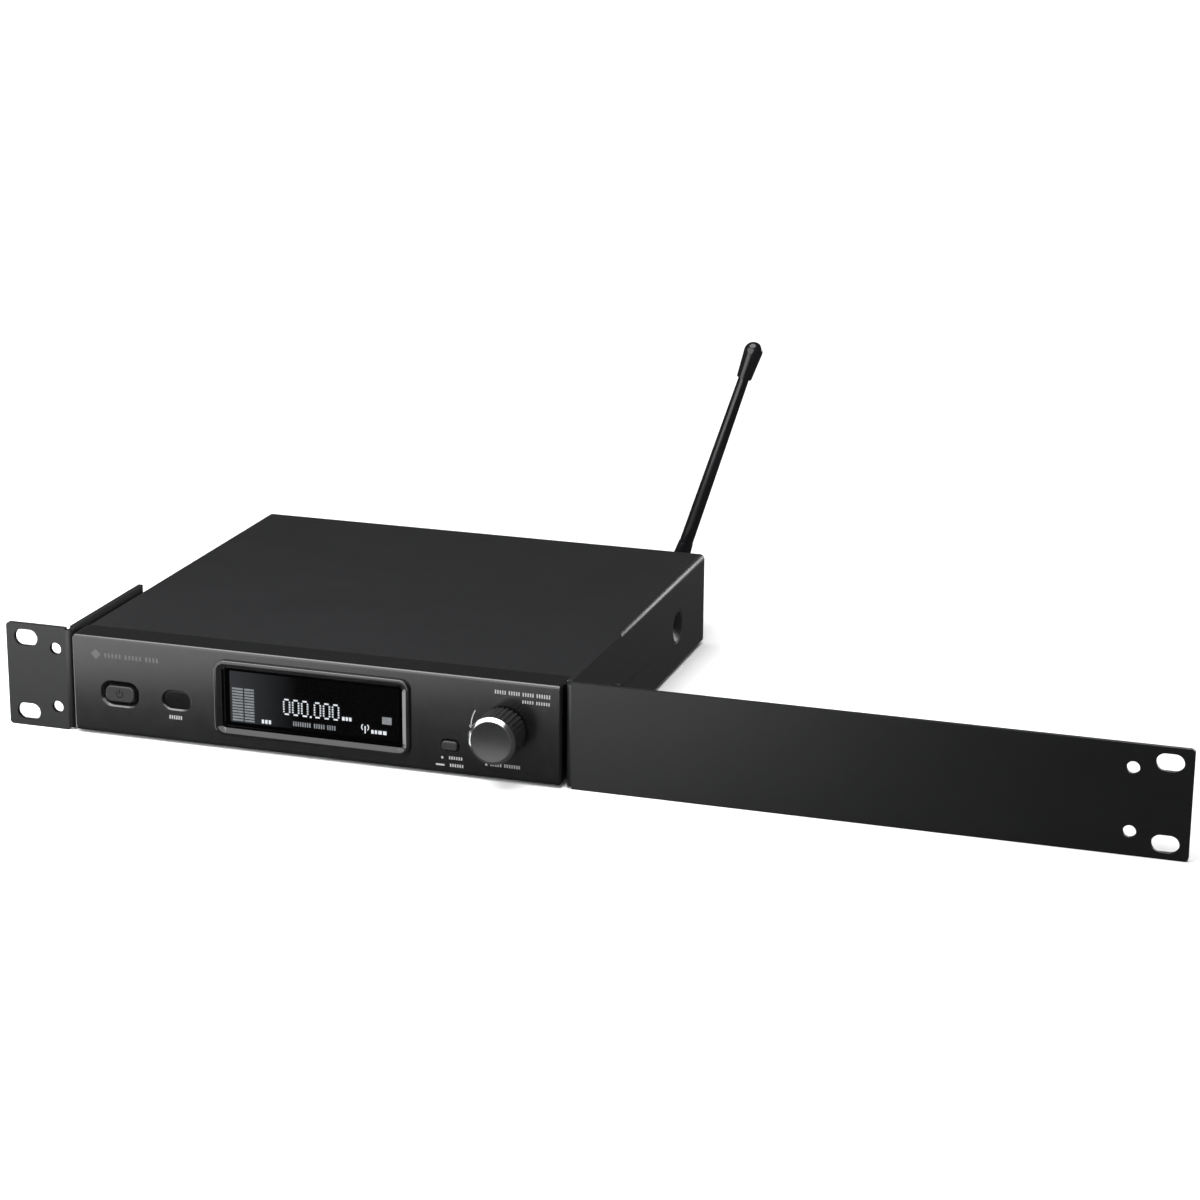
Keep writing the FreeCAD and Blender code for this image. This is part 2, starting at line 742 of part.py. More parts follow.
def make_switch(name, x, z, front, travel):
    """A tactile switch on the front board, with the well that its plunger goes into."""
    case = box(name + "_case", (x - 3.1, x + 3.1), (front, S.board_face), (z - 3.1, z + 3.1))
    well = rod(name + "_well", "y", (x, 0, z), (front - 1.0, front + travel + 1.2), 2.0)
    keep(cut(name + "_cut", case, well), name)


def make_sync_window():
    """The smoked infrared window, glued behind the wall, and the transceiver behind it."""
    pane = body("sync_pane")
    pane_front = S.front_face + SYNC_DEPTH
    outline = sketch(pane, "sync_outline", S.sync_x, pane_front, S.small_row_z)
    draw_stadium(outline, SYNC_HOLE[0] - 0.1, SYNC_HOLE[1] - 0.1)
    block = pad(pane, outline, S.front_wall - SYNC_DEPTH)
    pane.Tip = round_edges(pane, block, 0.3, at_depth(pane_front))
    rim = sketch(pane, "sync_rim", S.sync_x, WALL_REAR, S.small_row_z)
    draw_rounded(rim, SYNC_HOLE[0] + 2.6, SYNC_HOLE[1] + 2.6, 1.5)
    pad(pane, rim, 0.8)
    keep(pane, "sync_window")
    module = box(
        "ir_block",
        (S.sync_x - 4.8, S.sync_x + 4.8),
        (3.2, S.board_face),
        (S.small_row_z - 1.9, S.small_row_z + 1.9),
    )
    domes = [
        ball(f"ir_dome_{index}", (S.sync_x + x, 3.2, S.small_row_z), 1.25)
        for index, x in enumerate((-2.6, 2.6))
    ]
    keep(fuse("ir_fused", module, *domes), "ir_module")


# ---------------------------------------------------------------- the control knob

KNOB_RIBS = 30
RUNNING_GAP = 0.05


def make_knob():
    """The ribbed knob, its shaft, and the encoder that the shaft turns and pushes."""
    knob = body("knob_shape")
    bind(knob, "Placement.Base.x", S.knob_x)
    bind(knob, "Placement.Base.z", S.knob_z)
    outline = sketch(knob, "knob_outline", 0, S.knob_face, 0)
    draw_circle(outline, S.knob_radius)
    block = pad(knob, outline, S.knob_rear - S.knob_face)
    knob.Tip = bevel_edges(knob, block, S.knob_bevel, at_depth(S.knob_face))
    recess = sketch(knob, "knob_recess", 0, S.knob_rear - 6.0, 0)
    draw_circle(recess, S.knob_radius - 2.2)
    pocket(knob, recess, 7.0)
    socket = sketch(knob, "knob_socket", 0, S.knob_face + 2.4, 0)
    draw_circle(socket, S.shaft_radius + 0.02)
    pocket(knob, socket, 10.0)
    rib = sketch(knob, "knob_rib", 0, S.knob_face + 1.6, 0)
    draw_circle(rib, 0.62, S.knob_radius + 0.12, 0)
    first_rib = pocket(knob, rib, S.knob_rear - S.knob_face)
    turned = knob.newObject("PartDesign::PolarPattern", "knob_ribs")
    turned.Originals = [first_rib]
    turned.Axis = (origin_feature(knob, "Y_Axis"), [""])
    turned.Angle = 360
    turned.Occurrences = KNOB_RIBS
    knob.Tip = turned
    hollow_y = S.knob_face - S.knob_hollow_radius + S.knob_hollow_depth
    hollow = ball("knob_hollow", (S.knob_x, hollow_y, S.knob_z), S.knob_hollow_radius)
    keep(cut("knob_cut", knob, hollow), "control_knob")

    centre = (S.knob_x, 0, S.knob_z)
    body_front = WALL_REAR + 0.2
    body_rear = S.board_face - 0.1
    shaft_end = body_rear - 1.6
    keep(rod("shaft", "y", centre, (S.knob_face + 2.5, shaft_end), S.shaft_radius), "encoder_shaft")

    case = box(
        "encoder_case",
        (S.knob_x - 6.2, S.knob_x + 6.2),
        (body_front, body_rear),
        (S.knob_z - 6.5, S.knob_z + 6.5),
    )
    bushing = rod("encoder_bushing", "y", centre, (S.front_face - 4.3, body_front + 1.0), 3.5)
    running_fit = S.shaft_radius + RUNNING_GAP
    bore = rod("encoder_bore", "y", centre, (S.front_face - 5.0, body_rear - 0.8), running_fit)
    room = rod("encoder_room", "y", centre, (body_front + 1.2, body_rear - 0.8), 5.4)
    keep(cut("encoder_cut", fuse("encoder_whole", case, bushing), bore, room), "encoder_body")

    disc = rod("rotor_disc", "y", centre, (body_front + 1.6, body_front + 3.2), 5.0)
    eye = rod("rotor_eye", "y", centre, (body_front + 1.0, body_front + 4.0), running_fit)
    keep(cut("rotor_cut", disc, eye), "encoder_rotor")

    nut = hexagon("encoder_hex", "y", centre, (S.front_face - 2.2, S.front_face), 10.0)
    nut_bore = rod("encoder_nut_bore", "y", centre, (S.front_face - 3.0, S.front_face + 1.0), 3.5)
    keep(cut("encoder_nut_cut", nut, nut_bore), "encoder_nut")


def make_front_board():
    """The circuit board behind the front, its screws and its cable socket."""
    depth = (S.board_face, S.board_face + S.board_thickness)
    plate = box("front_board_plate", (-201.6, -9.4), depth, (-17.2, 17.2))
    holes = [
        rod(f"front_board_hole_{index}", "y", (x, 0, z), (S.board_face - 1, S.board_face + 3), SCREW_FIT)
        for index, (x, z) in enumerate(board_places())
    ]
    keep(cut("front_board_cut", plate, *holes), "front_board")
    rear = S.board_face + S.board_thickness
    screws = [
        pan_screw(f"board_screw_{index}", "y", rear, 1, (x, 0, z), 5.0, head=2.5)
        for index, (x, z) in enumerate(board_places())
    ]
    group("front_board_screws", screws)


# ---------------------------------------------------------------- rack ears

def make_ear(node, side):
    """An L-shaped ear: the slotted plate, and the flange that lies along the case."""
    if side == "left":
        inner = S.short_ear - S.rack_width / 2
        outer = -S.rack_width / 2
        flange_middle = inner - S.ear_plate / 2
    else:
        inner = as_dim(0.0)
        outer = S.rack_width / 2
        flange_middle = inner + S.ear_plate / 2
    sign = SIDES[side]
    width = (outer - inner) * sign
    ear = body(node + "_shape")
    plate = sketch(ear, node + "_plate", (outer + inner) / 2, 0, 0)
    draw_rectangle(plate, width, S.ear_height)
    flat = pad(ear, plate, S.ear_plate)
    ear.Tip = round_edges(
        ear, flat, 1.5,
        lambda b: near(b.XMin, outer) and near(b.XMax, outer) and b.YLength > 1,
    )
    flange = sketch(ear, node + "_flange", flange_middle, 0, 0)
    draw_rectangle(flange, S.ear_plate, S.ear_height)
    bent = pad(ear, flange, S.ear_flange)
    ear.Tip = round_edges(
        ear, bent, EAR_BEND,
        lambda b: near(b.XMin, inner) and near(b.XMax, inner) and near(b.YMax, 0) and b.ZLength > 40,
    )
    slot_x = S.slot_span_x / 2 * sign
    hole_x = S.hole_span_x / 2 * sign
    for level, up in (("low", -1), ("high", 1)):
        slot = sketch(ear, f"{node}_slot_{level}", slot_x, -1.0, S.slot_span_z / 2 * up)
        draw_stadium(slot, S.slot_length, S.slot_width)
        pocket(ear, slot, S.ear_plate + 2.0)
        hole = sketch(ear, f"{node}_hole_{level}", hole_x, -1.0, S.hole_span_z / 2 * up)
        draw_circle(hole, S.hole_width / 2)
        pocket(ear, hole, S.ear_plate + 2.0)
    reach = (inner - 1.0, inner + S.ear_plate + 0.6)
    if side == "left":
        reach = (inner - S.ear_plate - 0.6, inner + 1.0)
    top = S.ear_height / 2
    reliefs = [
        box(node + "_relief_high", reach, (-1.0, 3.4), (top - 0.9, top + 1.0)),
        box(node + "_relief_low", reach, (-1.0, 3.4), (-top - 1.0, -top + 0.9)),
    ]
    bolt_holes = []
    for index, y in enumerate(EAR_SCREWS_Y):
        span = (inner - 4.0, inner + 1.0) if side == "left" else (inner - 1.0, inner + 4.0)
        bolt_holes.append(rod(f"{node}_bolt_hole_{index}", "x", (0, y, 0), span, EAR_SCREW_HOLE))
    keep(cut(node + "_cut", ear, *reliefs, *bolt_holes), node)


def make_ear_fasteners():
    """Four screws through the flanges, and the nuts pressed inside the tray's walls."""
    screws = []
    nuts = []
    for side, sign in SIDES.items():
        ear_inner = as_dim(0.0) if side == "right" else S.short_ear - S.rack_width / 2
        seat = ear_inner + S.ear_plate * sign
        wall = side_x(side, SKIN_GAP + S.sheet)
        for index, y in enumerate(EAR_SCREWS_Y):
            name = f"ear_screw_{side}_{index}"
            place = (0, y, 0)
            screws.append(pan_screw(name, "x", seat, sign, place, 8.0, head=3.4, shank=EAR_SCREW_RADIUS))
            span = (wall, wall + 3.0) if side == "left" else (wall - 3.0, wall)
            ring = rod(name + "_nut_ring", "x", (0, y, 0), span, 3.6)
            drilled = (span[0] - 1.0, span[1] + 1.0)
            hole = rod(name + "_nut_hole", "x", (0, y, 0), drilled, EAR_SCREW_RADIUS)
            nuts.append(cut(name + "_nut", ring, hole))
    group("ear_screws", screws)
    group("ear_nuts", nuts)


def make_side_plugs():
    """Round dished plugs that fill the holes in the cover's sides."""
    place = (0, S.side_hole_y, S.side_hole_z)
    rim_radius = S.side_hole_radius - 0.1
    plugs = []
    for side in SIDES:
        rim = side_rod(f"plug_rim_{side}", side, place, (0.1, SKIN_GAP), rim_radius)
        neck_span = (SKIN_GAP, SKIN_GAP + 2.6)
        neck = side_rod(f"plug_neck_{side}", side, place, neck_span, TRAY_PLUG_HOLE - 0.1)
        dish = side_rod(f"plug_dish_{side}", side, place, (0.1, SKIN_GAP + 1.6), rim_radius - 0.6, 2.6)
        plugs.append(cut(f"plug_{side}", fuse(f"plug_whole_{side}", rim, neck), dish))
    group("side_plugs", plugs)


# ---------------------------------------------------------------- the main board

def make_main_board():
    """The main circuit board on its standoffs, with the parts that are worth naming."""
    top = S.main_board_top
    under = top - S.board_thickness
    plate = box("main_board_plate", (-203.0, -8.6), (24.0, 174.0), (under, top))
    places = [(x, y) for x in (-198.0, -106.0, -13.0) for y in (29.0, 169.0)]
    holes = [
        rod(f"main_board_hole_{index}", "z", (x, y, 0), (under - 1.0, top + 1.0), SCREW_FIT)
        for index, (x, y) in enumerate(places)
    ]
    keep(cut("main_board_cut", plate, *holes), "main_board")
    posts = []
    screws = []
    for index, (x, y) in enumerate(places):
        post = rod(f"post_{index}", "z", (x, y, 0), (FLOOR_TOP, under), 2.6)
        hole = rod(f"post_hole_{index}", "z", (x, y, 0), (FLOOR_TOP + 1.2, under + 1.0), SCREW_FIT)
        posts.append(cut(f"standoff_{index}", post, hole))
        screws.append(pan_screw(f"main_screw_{index}", "z", top, 1, (x, y, 0), 5.5, head=2.5))
    group("board_standoffs", posts)
    group("main_board_screws", screws)

    lid = box("shield_lid", (-74.0, -16.0), (104.0, 160.0), (top, top + 9.0))
    inside = box("shield_inside", (-73.6, -16.4), (104.4, 159.6), (top - 1.0, top + 8.6))
    keep(cut("shield_cut", lid, inside), "rf_shield")

    base = box("sink_base", (-196.0, -168.0), (112.0, 136.0), (top + 3.0, top + 5.0))
    fins = []
    for index in range(6):
        x = -196.0 + index * 5.4
        fins.append(box(f"sink_fin_{index}", (x, x + 1.0), (112.0, 136.0), (top + 4.5, top + 16.0)))
    keep(fuse("sink_fused", base, *fins), "heat_sink")
    keep(box("regulator_block", (-190.0, -174.0), (116.0, 132.0), (top, top + 3.0)), "voltage_regulator")
    chip = box("processor_chip", (-118.0, -98.0), (84.0, 104.0), (top, top + 1.6))
    keep(chip, "processor")


def make_ribbon():
    """The flat cable from the front board back to the main board, with its two sockets."""
    top = S.main_board_top
    rear = S.board_face + S.board_thickness
    low_socket = box("ribbon_socket_low", (-120.0, -92.0), (32.2, 38.2), (top, top + 5.0))
    high_socket = box("ribbon_socket_high", (-120.0, -92.0), (rear, rear + 3.2), (-6.0, 0.0))
    group("ribbon_sockets", [low_socket, high_socket])
    run_level = -3.0
    flat = box("ribbon_run", (-118.0, -94.0), (rear + 3.2, 35.7), (run_level, run_level + 0.7))
    drop = box("ribbon_drop", (-118.0, -94.0), (35.0, 35.7), (top + 5.0, run_level + 0.7))
    keep(fuse("ribbon_fused", flat, drop), "ribbon_cable")


# ---------------------------------------------------------------- rear panel and connectors

DC_X = -197.0
HOOK_X = -184.0
NETWORK_X = -163.0
LOOP_X = {"left": -141.0, "right": -122.0}
INPUT_X = {"left": -94.0, "right": -60.0}
INPUT_BODY = 11.6
INPUT_HOLE = 11.9
INPUT_FLANGE = 1.8
JACK_THREAD = 4.7


def make_rear_panel():
    """The rear plate with its cut-outs, and its screws into the tray and the cover's lip."""
    plate = box(
        "rear_plate",
        (TRAY_LEFT + SKIN_GAP, TRAY_RIGHT - SKIN_GAP),
        (PANEL_FRONT, S.rear_face),
        (FLOOR_TOP + S.fit_gap, S.case_top - S.sheet - S.fit_gap),
    )
    through = (PANEL_FRONT - 1.0, S.rear_face + 1.0)
    openings = [
        rod("dc_opening", "y", (DC_X, 0, 0), through, 5.6),
        box("network_opening", (NETWORK_X - 8.2, NETWORK_X + 8.2), through, (-7.2, 7.2)),
        rod("antenna_opening", "y", (S.antenna_x, 0, S.antenna_z), through, JACK_THREAD + 0.1),
    ]
    for side in SIDES:
        place = (LOOP_X[side], 0, 0)
        openings.append(rod(f"loop_opening_{side}", "y", place, through, JACK_THREAD + 0.1))
        openings.append(rod(f"input_opening_{side}", "y", (INPUT_X[side], 0, 0), through, INPUT_HOLE))
        for index, (x, z) in enumerate(input_screw_places(side)):
            name = f"input_screw_opening_{side}_{index}"
            openings.append(rod(name, "y", (x, 0, z), through, SCREW_FIT))
    for index, x in enumerate(COVER_SCREWS_X):
        place = (x, 0, COVER_SCREW_Z)
        openings.append(rod(f"cover_screw_opening_{index}", "y", place, through, SCREW_FIT))
    keep(cut("rear_cut", plate, *openings), "rear_panel")

    brackets = [
        box(
            f"rear_bracket_{index}",
            (x - 6.0, x + 6.0),
            (PANEL_FRONT - 8.0, PANEL_FRONT),
            (FLOOR_TOP, FLOOR_TOP + S.sheet),
        )
        for index, x in enumerate((-176.0, -36.0))
    ]
    group("rear_panel_tabs", brackets)
    cover_screws = [
        pan_screw(f"cover_screw_{index}", "y", S.rear_face, 1, (x, 0, COVER_SCREW_Z), 4.0)
        for index, x in enumerate(COVER_SCREWS_X)
    ]
    group("cover_screws", cover_screws)


def input_screw_places(side):
    """The two flange screws of an input connector, on a diagonal."""
    x = INPUT_X[side]
    return [(x - 9.8, 12.2), (x + 9.8, -12.2)]


def make_input(side):
    """A combined microphone and line input: flange, round well, centre bore and latch tab."""
    x = INPUT_X[side]
    flange_rear = S.rear_face + INPUT_FLANGE
    name = f"input_{side}"
    flange = body(name + "_flange_shape")
    outline = sketch(flange, name + "_outline", x, S.rear_face, 0)
    draw_rounded(outline, 26.0, 31.0, 2.5)
    plate = pad(flange, outline, INPUT_FLANGE)
    round_edges(flange, plate, 0.6, at_depth(flange_rear))
    barrel = rod(name + "_barrel", "y", (x, 0, 0), (S.rear_face - 22.0, S.rear_face + 0.5), INPUT_BODY)
    floor = flange_rear - 12.0
    well = rod(name + "_well", "y", (x, 0, 0), (floor, flange_rear + 1.0), 9.6)
    island = rod(name + "_island", "y", (x, 0, 0), (floor - 0.5, flange_rear - 0.8), 7.0)
    centre = (S.rear_face - 20.0, flange_rear + 1.0)
    bore = rod(name + "_bore", "y", (x, 0, 0), centre, S.jack_bore)
    pins = []
    for index, angle in enumerate((90, 210, 330)):
        px = x + 5.1 * math.cos(math.radians(angle))
        pz = -5.1 * math.sin(math.radians(angle))
        pins.append(rod(f"{name}_pin_{index}", "y", (px, 0, pz), (floor + 2.0, flange_rear + 1.0), 1.25))
    tab_slot = box(name + "_tab_slot", (x - 3.6, x + 3.6), (floor, flange_rear + 1.0), (9.0, 11.5))
    screw_holes = [
        rod(f"{name}_screw_hole_{index}", "y", (sx, 0, sz), (S.rear_face - 1, flange_rear + 1), SCREW_FIT)
        for index, (sx, sz) in enumerate(input_screw_places(side))
    ]
    hollowed = cut(name + "_hollow", fuse(name + "_solid", flange, barrel), well, tab_slot, *screw_holes)
    whole = fuse(name + "_whole", hollowed, island)
    keep(cut(name + "_cut", whole, bore, *pins), f"{name}_jack")

    tab_front = floor + S.latch_travel + 0.6
    head_front = flange_rear + S.latch_travel + 0.2
    stem = box(name + "_tab_stem", (x - 3.2, x + 3.2), (tab_front, head_front + 0.5), (9.9, 11.1))
    head = box(name + "_tab_head", (x - 3.8, x + 3.8), (head_front, head_front + 1.2), (9.9, 13.2))
    groove_span = (head_front + 0.4, head_front + 0.8)
    groove = box(name + "_tab_groove", (x - 4.0, x + 4.0), groove_span, (12.8, 13.3))
    keep(cut(name + "_tab_cut", fuse(name + "_tab", stem, head), groove), f"{name}_latch")


def make_loop_jack(side):
    """A 6.35 mm loop output: case inside, threaded bushing and nut outside."""
    x = LOOP_X[side]
    name = f"loop_{side}"
    case = box(name + "_case", (x - 7.6, x + 7.6), (S.rear_face - 26.0, PANEL_FRONT), (-8.6, 8.6))
    bushing = rod(name + "_bushing", "y", (x, 0, 0), (PANEL_FRONT - 1.0, S.rear_face + 4.6), JACK_THREAD)
    bore = rod(name + "_bore", "y", (x, 0, 0), (S.rear_face - 24.5, S.rear_face + 6.0), S.jack_bore)
    keep(cut(name + "_cut", fuse(name + "_whole", case, bushing), bore), f"{name}_jack")


def panel_nut(name, x, z, across, thickness, thread):
    """A hexagonal nut on the rear panel, on a thin round washer."""
    start = S.rear_face
    washer = rod(name + "_washer", "y", (x, 0, z), (start, start + 0.6), across * 0.58)
    nut = hexagon(name + "_hex", "y", (x, 0, z), (start + 0.6, start + 0.6 + thickness), across)
    bore = rod(name + "_bore", "y", (x, 0, z), (start - 1.0, start + thickness + 2.0), thread)
    return cut(name + "_cut", fuse(name + "_whole", washer, nut), bore)


def make_rear_connectors():
    """The power inlet, cord hook, network port, inputs, outputs and their hardware."""
    ring = rod("dc_ring", "y", (DC_X, 0, 0), (S.rear_face - 1.0, S.rear_face + 1.0), 5.5)
    case = box("dc_case", (DC_X - 5.0, DC_X + 5.0), (S.rear_face - 14.0, PANEL_FRONT), (-5.5, 5.5))
    bore = rod("dc_bore", "y", (DC_X, 0, 0), (S.rear_face - 9.5, S.rear_face + 2.0), 3.0)
    pin = rod("dc_pin", "y", (DC_X, 0, 0), (S.rear_face - 10.0, S.rear_face - 0.6), 1.0)
    hollow = cut("dc_hollow", fuse("dc_solid", ring, case), bore)
    keep(fuse("dc_fused", hollow, pin), "dc_inlet")

    rear = S.rear_face
    hook_width = (HOOK_X - 3.6, HOOK_X + 3.6)
    hook_base = box("hook_base", hook_width, (rear, rear + 1.6), (-7.0, 7.0))
    hook_arm = box("hook_arm", hook_width, (rear, rear + 10.0), (5.0, 7.0))
    hook_lip = box("hook_lip", hook_width, (rear + 8.2, rear + 10.0), (-3.0, 7.0))
    keep(fuse("hook_fused", hook_base, hook_arm, hook_lip), "cord_hook")

    port = box("port_case", (NETWORK_X - 8.0, NETWORK_X + 8.0), (rear - 21.0, rear + 0.8), (-7.0, 7.0))
    socket = (rear - 13.0, rear + 2.0)
    mouth = box("port_mouth", (NETWORK_X - 5.9, NETWORK_X + 5.9), socket, (-3.4, 3.4))
    key = box("port_key", (NETWORK_X - 3.0, NETWORK_X + 3.0), socket, (-5.4, -3.0))
    keep(cut("port_cut", port, mouth, key), "network_port")

    screws = []
    nuts = []
    for side in SIDES:
        make_input(side)
        make_loop_jack(side)
        nuts.append(panel_nut(f"loop_nut_{side}", LOOP_X[side], 0, 12.6, 2.2, JACK_THREAD))
        for index, (x, z) in enumerate(input_screw_places(side)):
            name = f"input_screw_{side}_{index}"
            screws.append(pan_screw(name, "y", rear + INPUT_FLANGE, 1, (x, 0, z), 2.7, head=2.4))
    group("loop_jack_nuts", nuts)
    group("input_screws", screws)


# ---------------------------------------------------------------- antenna

ELBOW_RADIUS = 4.9
WHIP_START = 11.5
TIP_LENGTH = 17.0
TIP_RADIUS = 4.2


def make_antenna():
    """The bayonet jack, and the whip on its right-angle plug with a coupling ring."""
    at = (S.antenna_x, 0, S.antenna_z)
    face = S.rear_face
    inner = rod("antenna_case", "y", at, (face - 14.0, PANEL_FRONT), 7.0)
    thread = rod("antenna_thread", "y", at, (PANEL_FRONT - 1.0, face + 4.6), JACK_THREAD)
    barrel = rod("antenna_barrel", "y", at, (face + 4.6, face + 11.6), 4.75)
    lug_span = (S.antenna_x - 5.7, S.antenna_x + 5.7)
    lugs = rod("antenna_lugs", "x", (0, face + 9.0, S.antenna_z), lug_span, 1.0)
    bore = rod("antenna_bore", "y", at, (face + 5.6, face + 13.0), 4.05)
    contact = rod("antenna_contact", "y", at, (face + 5.0, face + 10.6), 1.1)
    whole = fuse("antenna_solid", inner, thread, barrel, lugs)
    keep(fuse("antenna_jack_fused", cut("antenna_hollow", whole, bore), contact), "antenna_jack")
    keep(panel_nut("antenna_hex", S.antenna_x, S.antenna_z, 13.0, 2.4, JACK_THREAD), "antenna_jack_nut")

    ring_front = face + 4.4
    ring_rear = face + 15.4
    ring = rod("ring_outer", "y", at, (ring_front, ring_rear), 7.1)
    ring_room = rod("ring_room", "y", at, (ring_front - 1.0, ring_rear - 1.6), 6.0)
    ring_eye = rod("ring_eye", "y", at, (ring_front, ring_rear + 1.0), 3.7)
    grooves = []
    for index in range(16):
        angle = 2 * math.pi * index / 16
        gx = S.antenna_x + 7.3 * math.cos(angle)
        gz = S.antenna_z + 7.3 * math.sin(angle)
        groove_span = (ring_front + 2.0, ring_rear + 1.0)
        grooves.append(rod(f"ring_groove_{index}", "y", (gx, 0, gz), groove_span, 0.6))
    keep(cut("ring_cut", ring, ring_room, ring_eye, *grooves), "antenna_ring")

    plug_start = face + 6.4
    sleeve = rod("plug_sleeve", "y", at, (plug_start, face + 12.4), 3.9)
    collar = rod("plug_collar", "y", at, (face + 12.2, face + 13.4), 5.4)
    neck = rod("plug_neck", "y", at, (face + 12.6, S.antenna_plane), 3.4)
    hollow = rod("plug_hollow", "y", at, (plug_start - 1.0, face + 12.0), 2.4)
    plug = cut("plug_cut", fuse("plug_solid", sleeve, collar, neck), hollow)
    knuckle = rod("knuckle", "z", (S.antenna_x, S.antenna_plane, 0), (-ELBOW_RADIUS, 9.0), ELBOW_RADIUS)
    cap_span = (S.antenna_plane, S.antenna_plane + ELBOW_RADIUS + 0.5)
    cap = rod("knuckle_cap", "y", at, cap_span, ELBOW_RADIUS - 0.9)
    shoulder = rod(
        "knuckle_shoulder", "z", (S.antenna_x, S.antenna_plane, 0), (9.0, WHIP_START), ELBOW_RADIUS, 3.9
    )
    lean_about_jack(keep(fuse("elbow_fused", plug, knuckle, cap, shoulder), "antenna_elbow"))

    place = (S.antenna_x, S.antenna_plane, 0)
    tip_start = S.antenna_reach - TIP_LENGTH
    base = rod("whip_base", "z", place, (WHIP_START, WHIP_START + 8.0), 3.9, 3.3)
    stem = rod("whip_stem", "z", place, (WHIP_START + 8.0, tip_start + 4.0), 3.1, 2.4)
    lean_about_jack(keep(fuse("whip_fused", base, stem), "antenna_whip"))
    shell = rod("tip_shell", "z", place, (tip_start, S.antenna_reach - TIP_RADIUS), 3.4, TIP_RADIUS)
    dome = ball("tip_dome", (S.antenna_x, S.antenna_plane, S.antenna_reach - TIP_RADIUS), TIP_RADIUS)
    socket = rod("tip_socket", "z", place, (tip_start - 1.0, tip_start + 4.0), 2.47)
    lean_about_jack(keep(cut("tip_cut", fuse("tip_whole", shell, dome), socket), "antenna_tip"))


def lean_about_jack(item):
    """Lean a finished piece about the jack's axis, towards +X."""
    axis_point = Vector(S.antenna_x.number, 0, S.antenna_z.number)
    turn = FreeCAD.Rotation(Vector(0, 1, 0), S.antenna_lean.number)
    item.Placement = FreeCAD.Placement(Vector(), turn, axis_point)


# ---------------------------------------------------------------- build, check and write

def build():
    make_cover()
    make_tray()
    make_subframe()
    make_front_panel()
    make_display()
    make_button("power_button", S.power_x, S.small_row_z, POWER_CAP, POWER_CORNER, 0.3, 4.4)
    make_switch("power_switch", S.power_x, S.small_row_z, as_dim(4.5), S.power_travel)
    make_button("back_button", S.back_x, S.back_z, BACK_CAP, BACK_CORNER, 1.3, 4.4)
    make_switch("back_switch", S.back_x, S.back_z, as_dim(4.5), S.back_travel)
    make_sync_window()
    make_knob()
    make_front_board()
    make_ear("short_rack_ear", "left")
    make_ear("long_rack_ear", "right")
    make_ear_fasteners()
    make_side_plugs()
    make_main_board()
    make_ribbon()
    make_rear_panel()
    make_rear_connectors()
    make_antenna()
    doc.recompute()


def check():
    """Stop if any object failed, or any piece isn't a sound solid."""
    for item in doc.Objects:
        if "Invalid" in item.State or "Error" in item.State:
            raise RuntimeError(f"{item.Name} failed: {item.State}")
    for node, item in PARTS.items():
        shape = item.Shape
        if shape.isNull() or not shape.isValid() or not shape.Solids:
            raise RuntimeError(f"{node} is not a valid solid")


def write():
    os.makedirs("parts", exist_ok=True)
    for node, item in PARTS.items():
        item.Shape.exportStep(f"parts/{node}.step")
        print(f"{node}: {len(item.Shape.Solids)} solid(s), {item.Shape.Volume / 1000:.2f} cm3")


build()
check()
write()
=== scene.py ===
"""Looks for the half-rack wireless transmitter: its finishes, printed marks, lit display and studio."""

import json
import math

import bmesh
import bpy
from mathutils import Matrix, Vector


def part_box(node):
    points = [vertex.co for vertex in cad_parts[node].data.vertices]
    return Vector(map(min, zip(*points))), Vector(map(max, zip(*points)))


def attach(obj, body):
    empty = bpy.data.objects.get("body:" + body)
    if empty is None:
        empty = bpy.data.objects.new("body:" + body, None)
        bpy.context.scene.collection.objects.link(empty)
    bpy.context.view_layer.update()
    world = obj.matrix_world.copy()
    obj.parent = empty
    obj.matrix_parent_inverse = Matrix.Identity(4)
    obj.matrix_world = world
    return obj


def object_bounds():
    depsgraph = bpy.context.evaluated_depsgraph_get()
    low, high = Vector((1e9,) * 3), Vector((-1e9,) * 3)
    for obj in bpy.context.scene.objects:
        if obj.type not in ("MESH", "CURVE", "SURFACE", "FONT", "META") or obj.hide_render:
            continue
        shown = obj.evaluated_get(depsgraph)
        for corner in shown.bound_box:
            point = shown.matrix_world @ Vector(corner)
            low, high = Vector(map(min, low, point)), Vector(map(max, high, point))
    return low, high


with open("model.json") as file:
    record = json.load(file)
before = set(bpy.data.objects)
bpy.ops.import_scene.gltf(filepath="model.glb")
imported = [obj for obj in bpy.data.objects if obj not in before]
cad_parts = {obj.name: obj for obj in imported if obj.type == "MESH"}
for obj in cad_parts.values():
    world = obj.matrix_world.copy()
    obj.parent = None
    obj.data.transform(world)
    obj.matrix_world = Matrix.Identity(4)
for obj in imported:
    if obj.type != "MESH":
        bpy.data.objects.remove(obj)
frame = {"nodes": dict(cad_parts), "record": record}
cad_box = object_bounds()

MM = 0.001
NODES = frame["nodes"]
GLOSS_DRIFT = 0.015


# ---------------------------------------------------------------- material helpers

def new_material(name, color, roughness, metallic=0.0, specular=0.5):
    """A principled material whose even values sit on the shader's own sockets."""
    material = bpy.data.materials.new(name)
    material.use_nodes = True
    shader = material.node_tree.nodes["Principled BSDF"]
    shader.inputs["Base Color"].default_value = (*color, 1.0)
    shader.inputs["Roughness"].default_value = roughness
    shader.inputs["Metallic"].default_value = metallic
    shader.inputs["Specular IOR Level"].default_value = specular
    return material


def shader_of(material):
    return material.node_tree.nodes["Principled BSDF"]


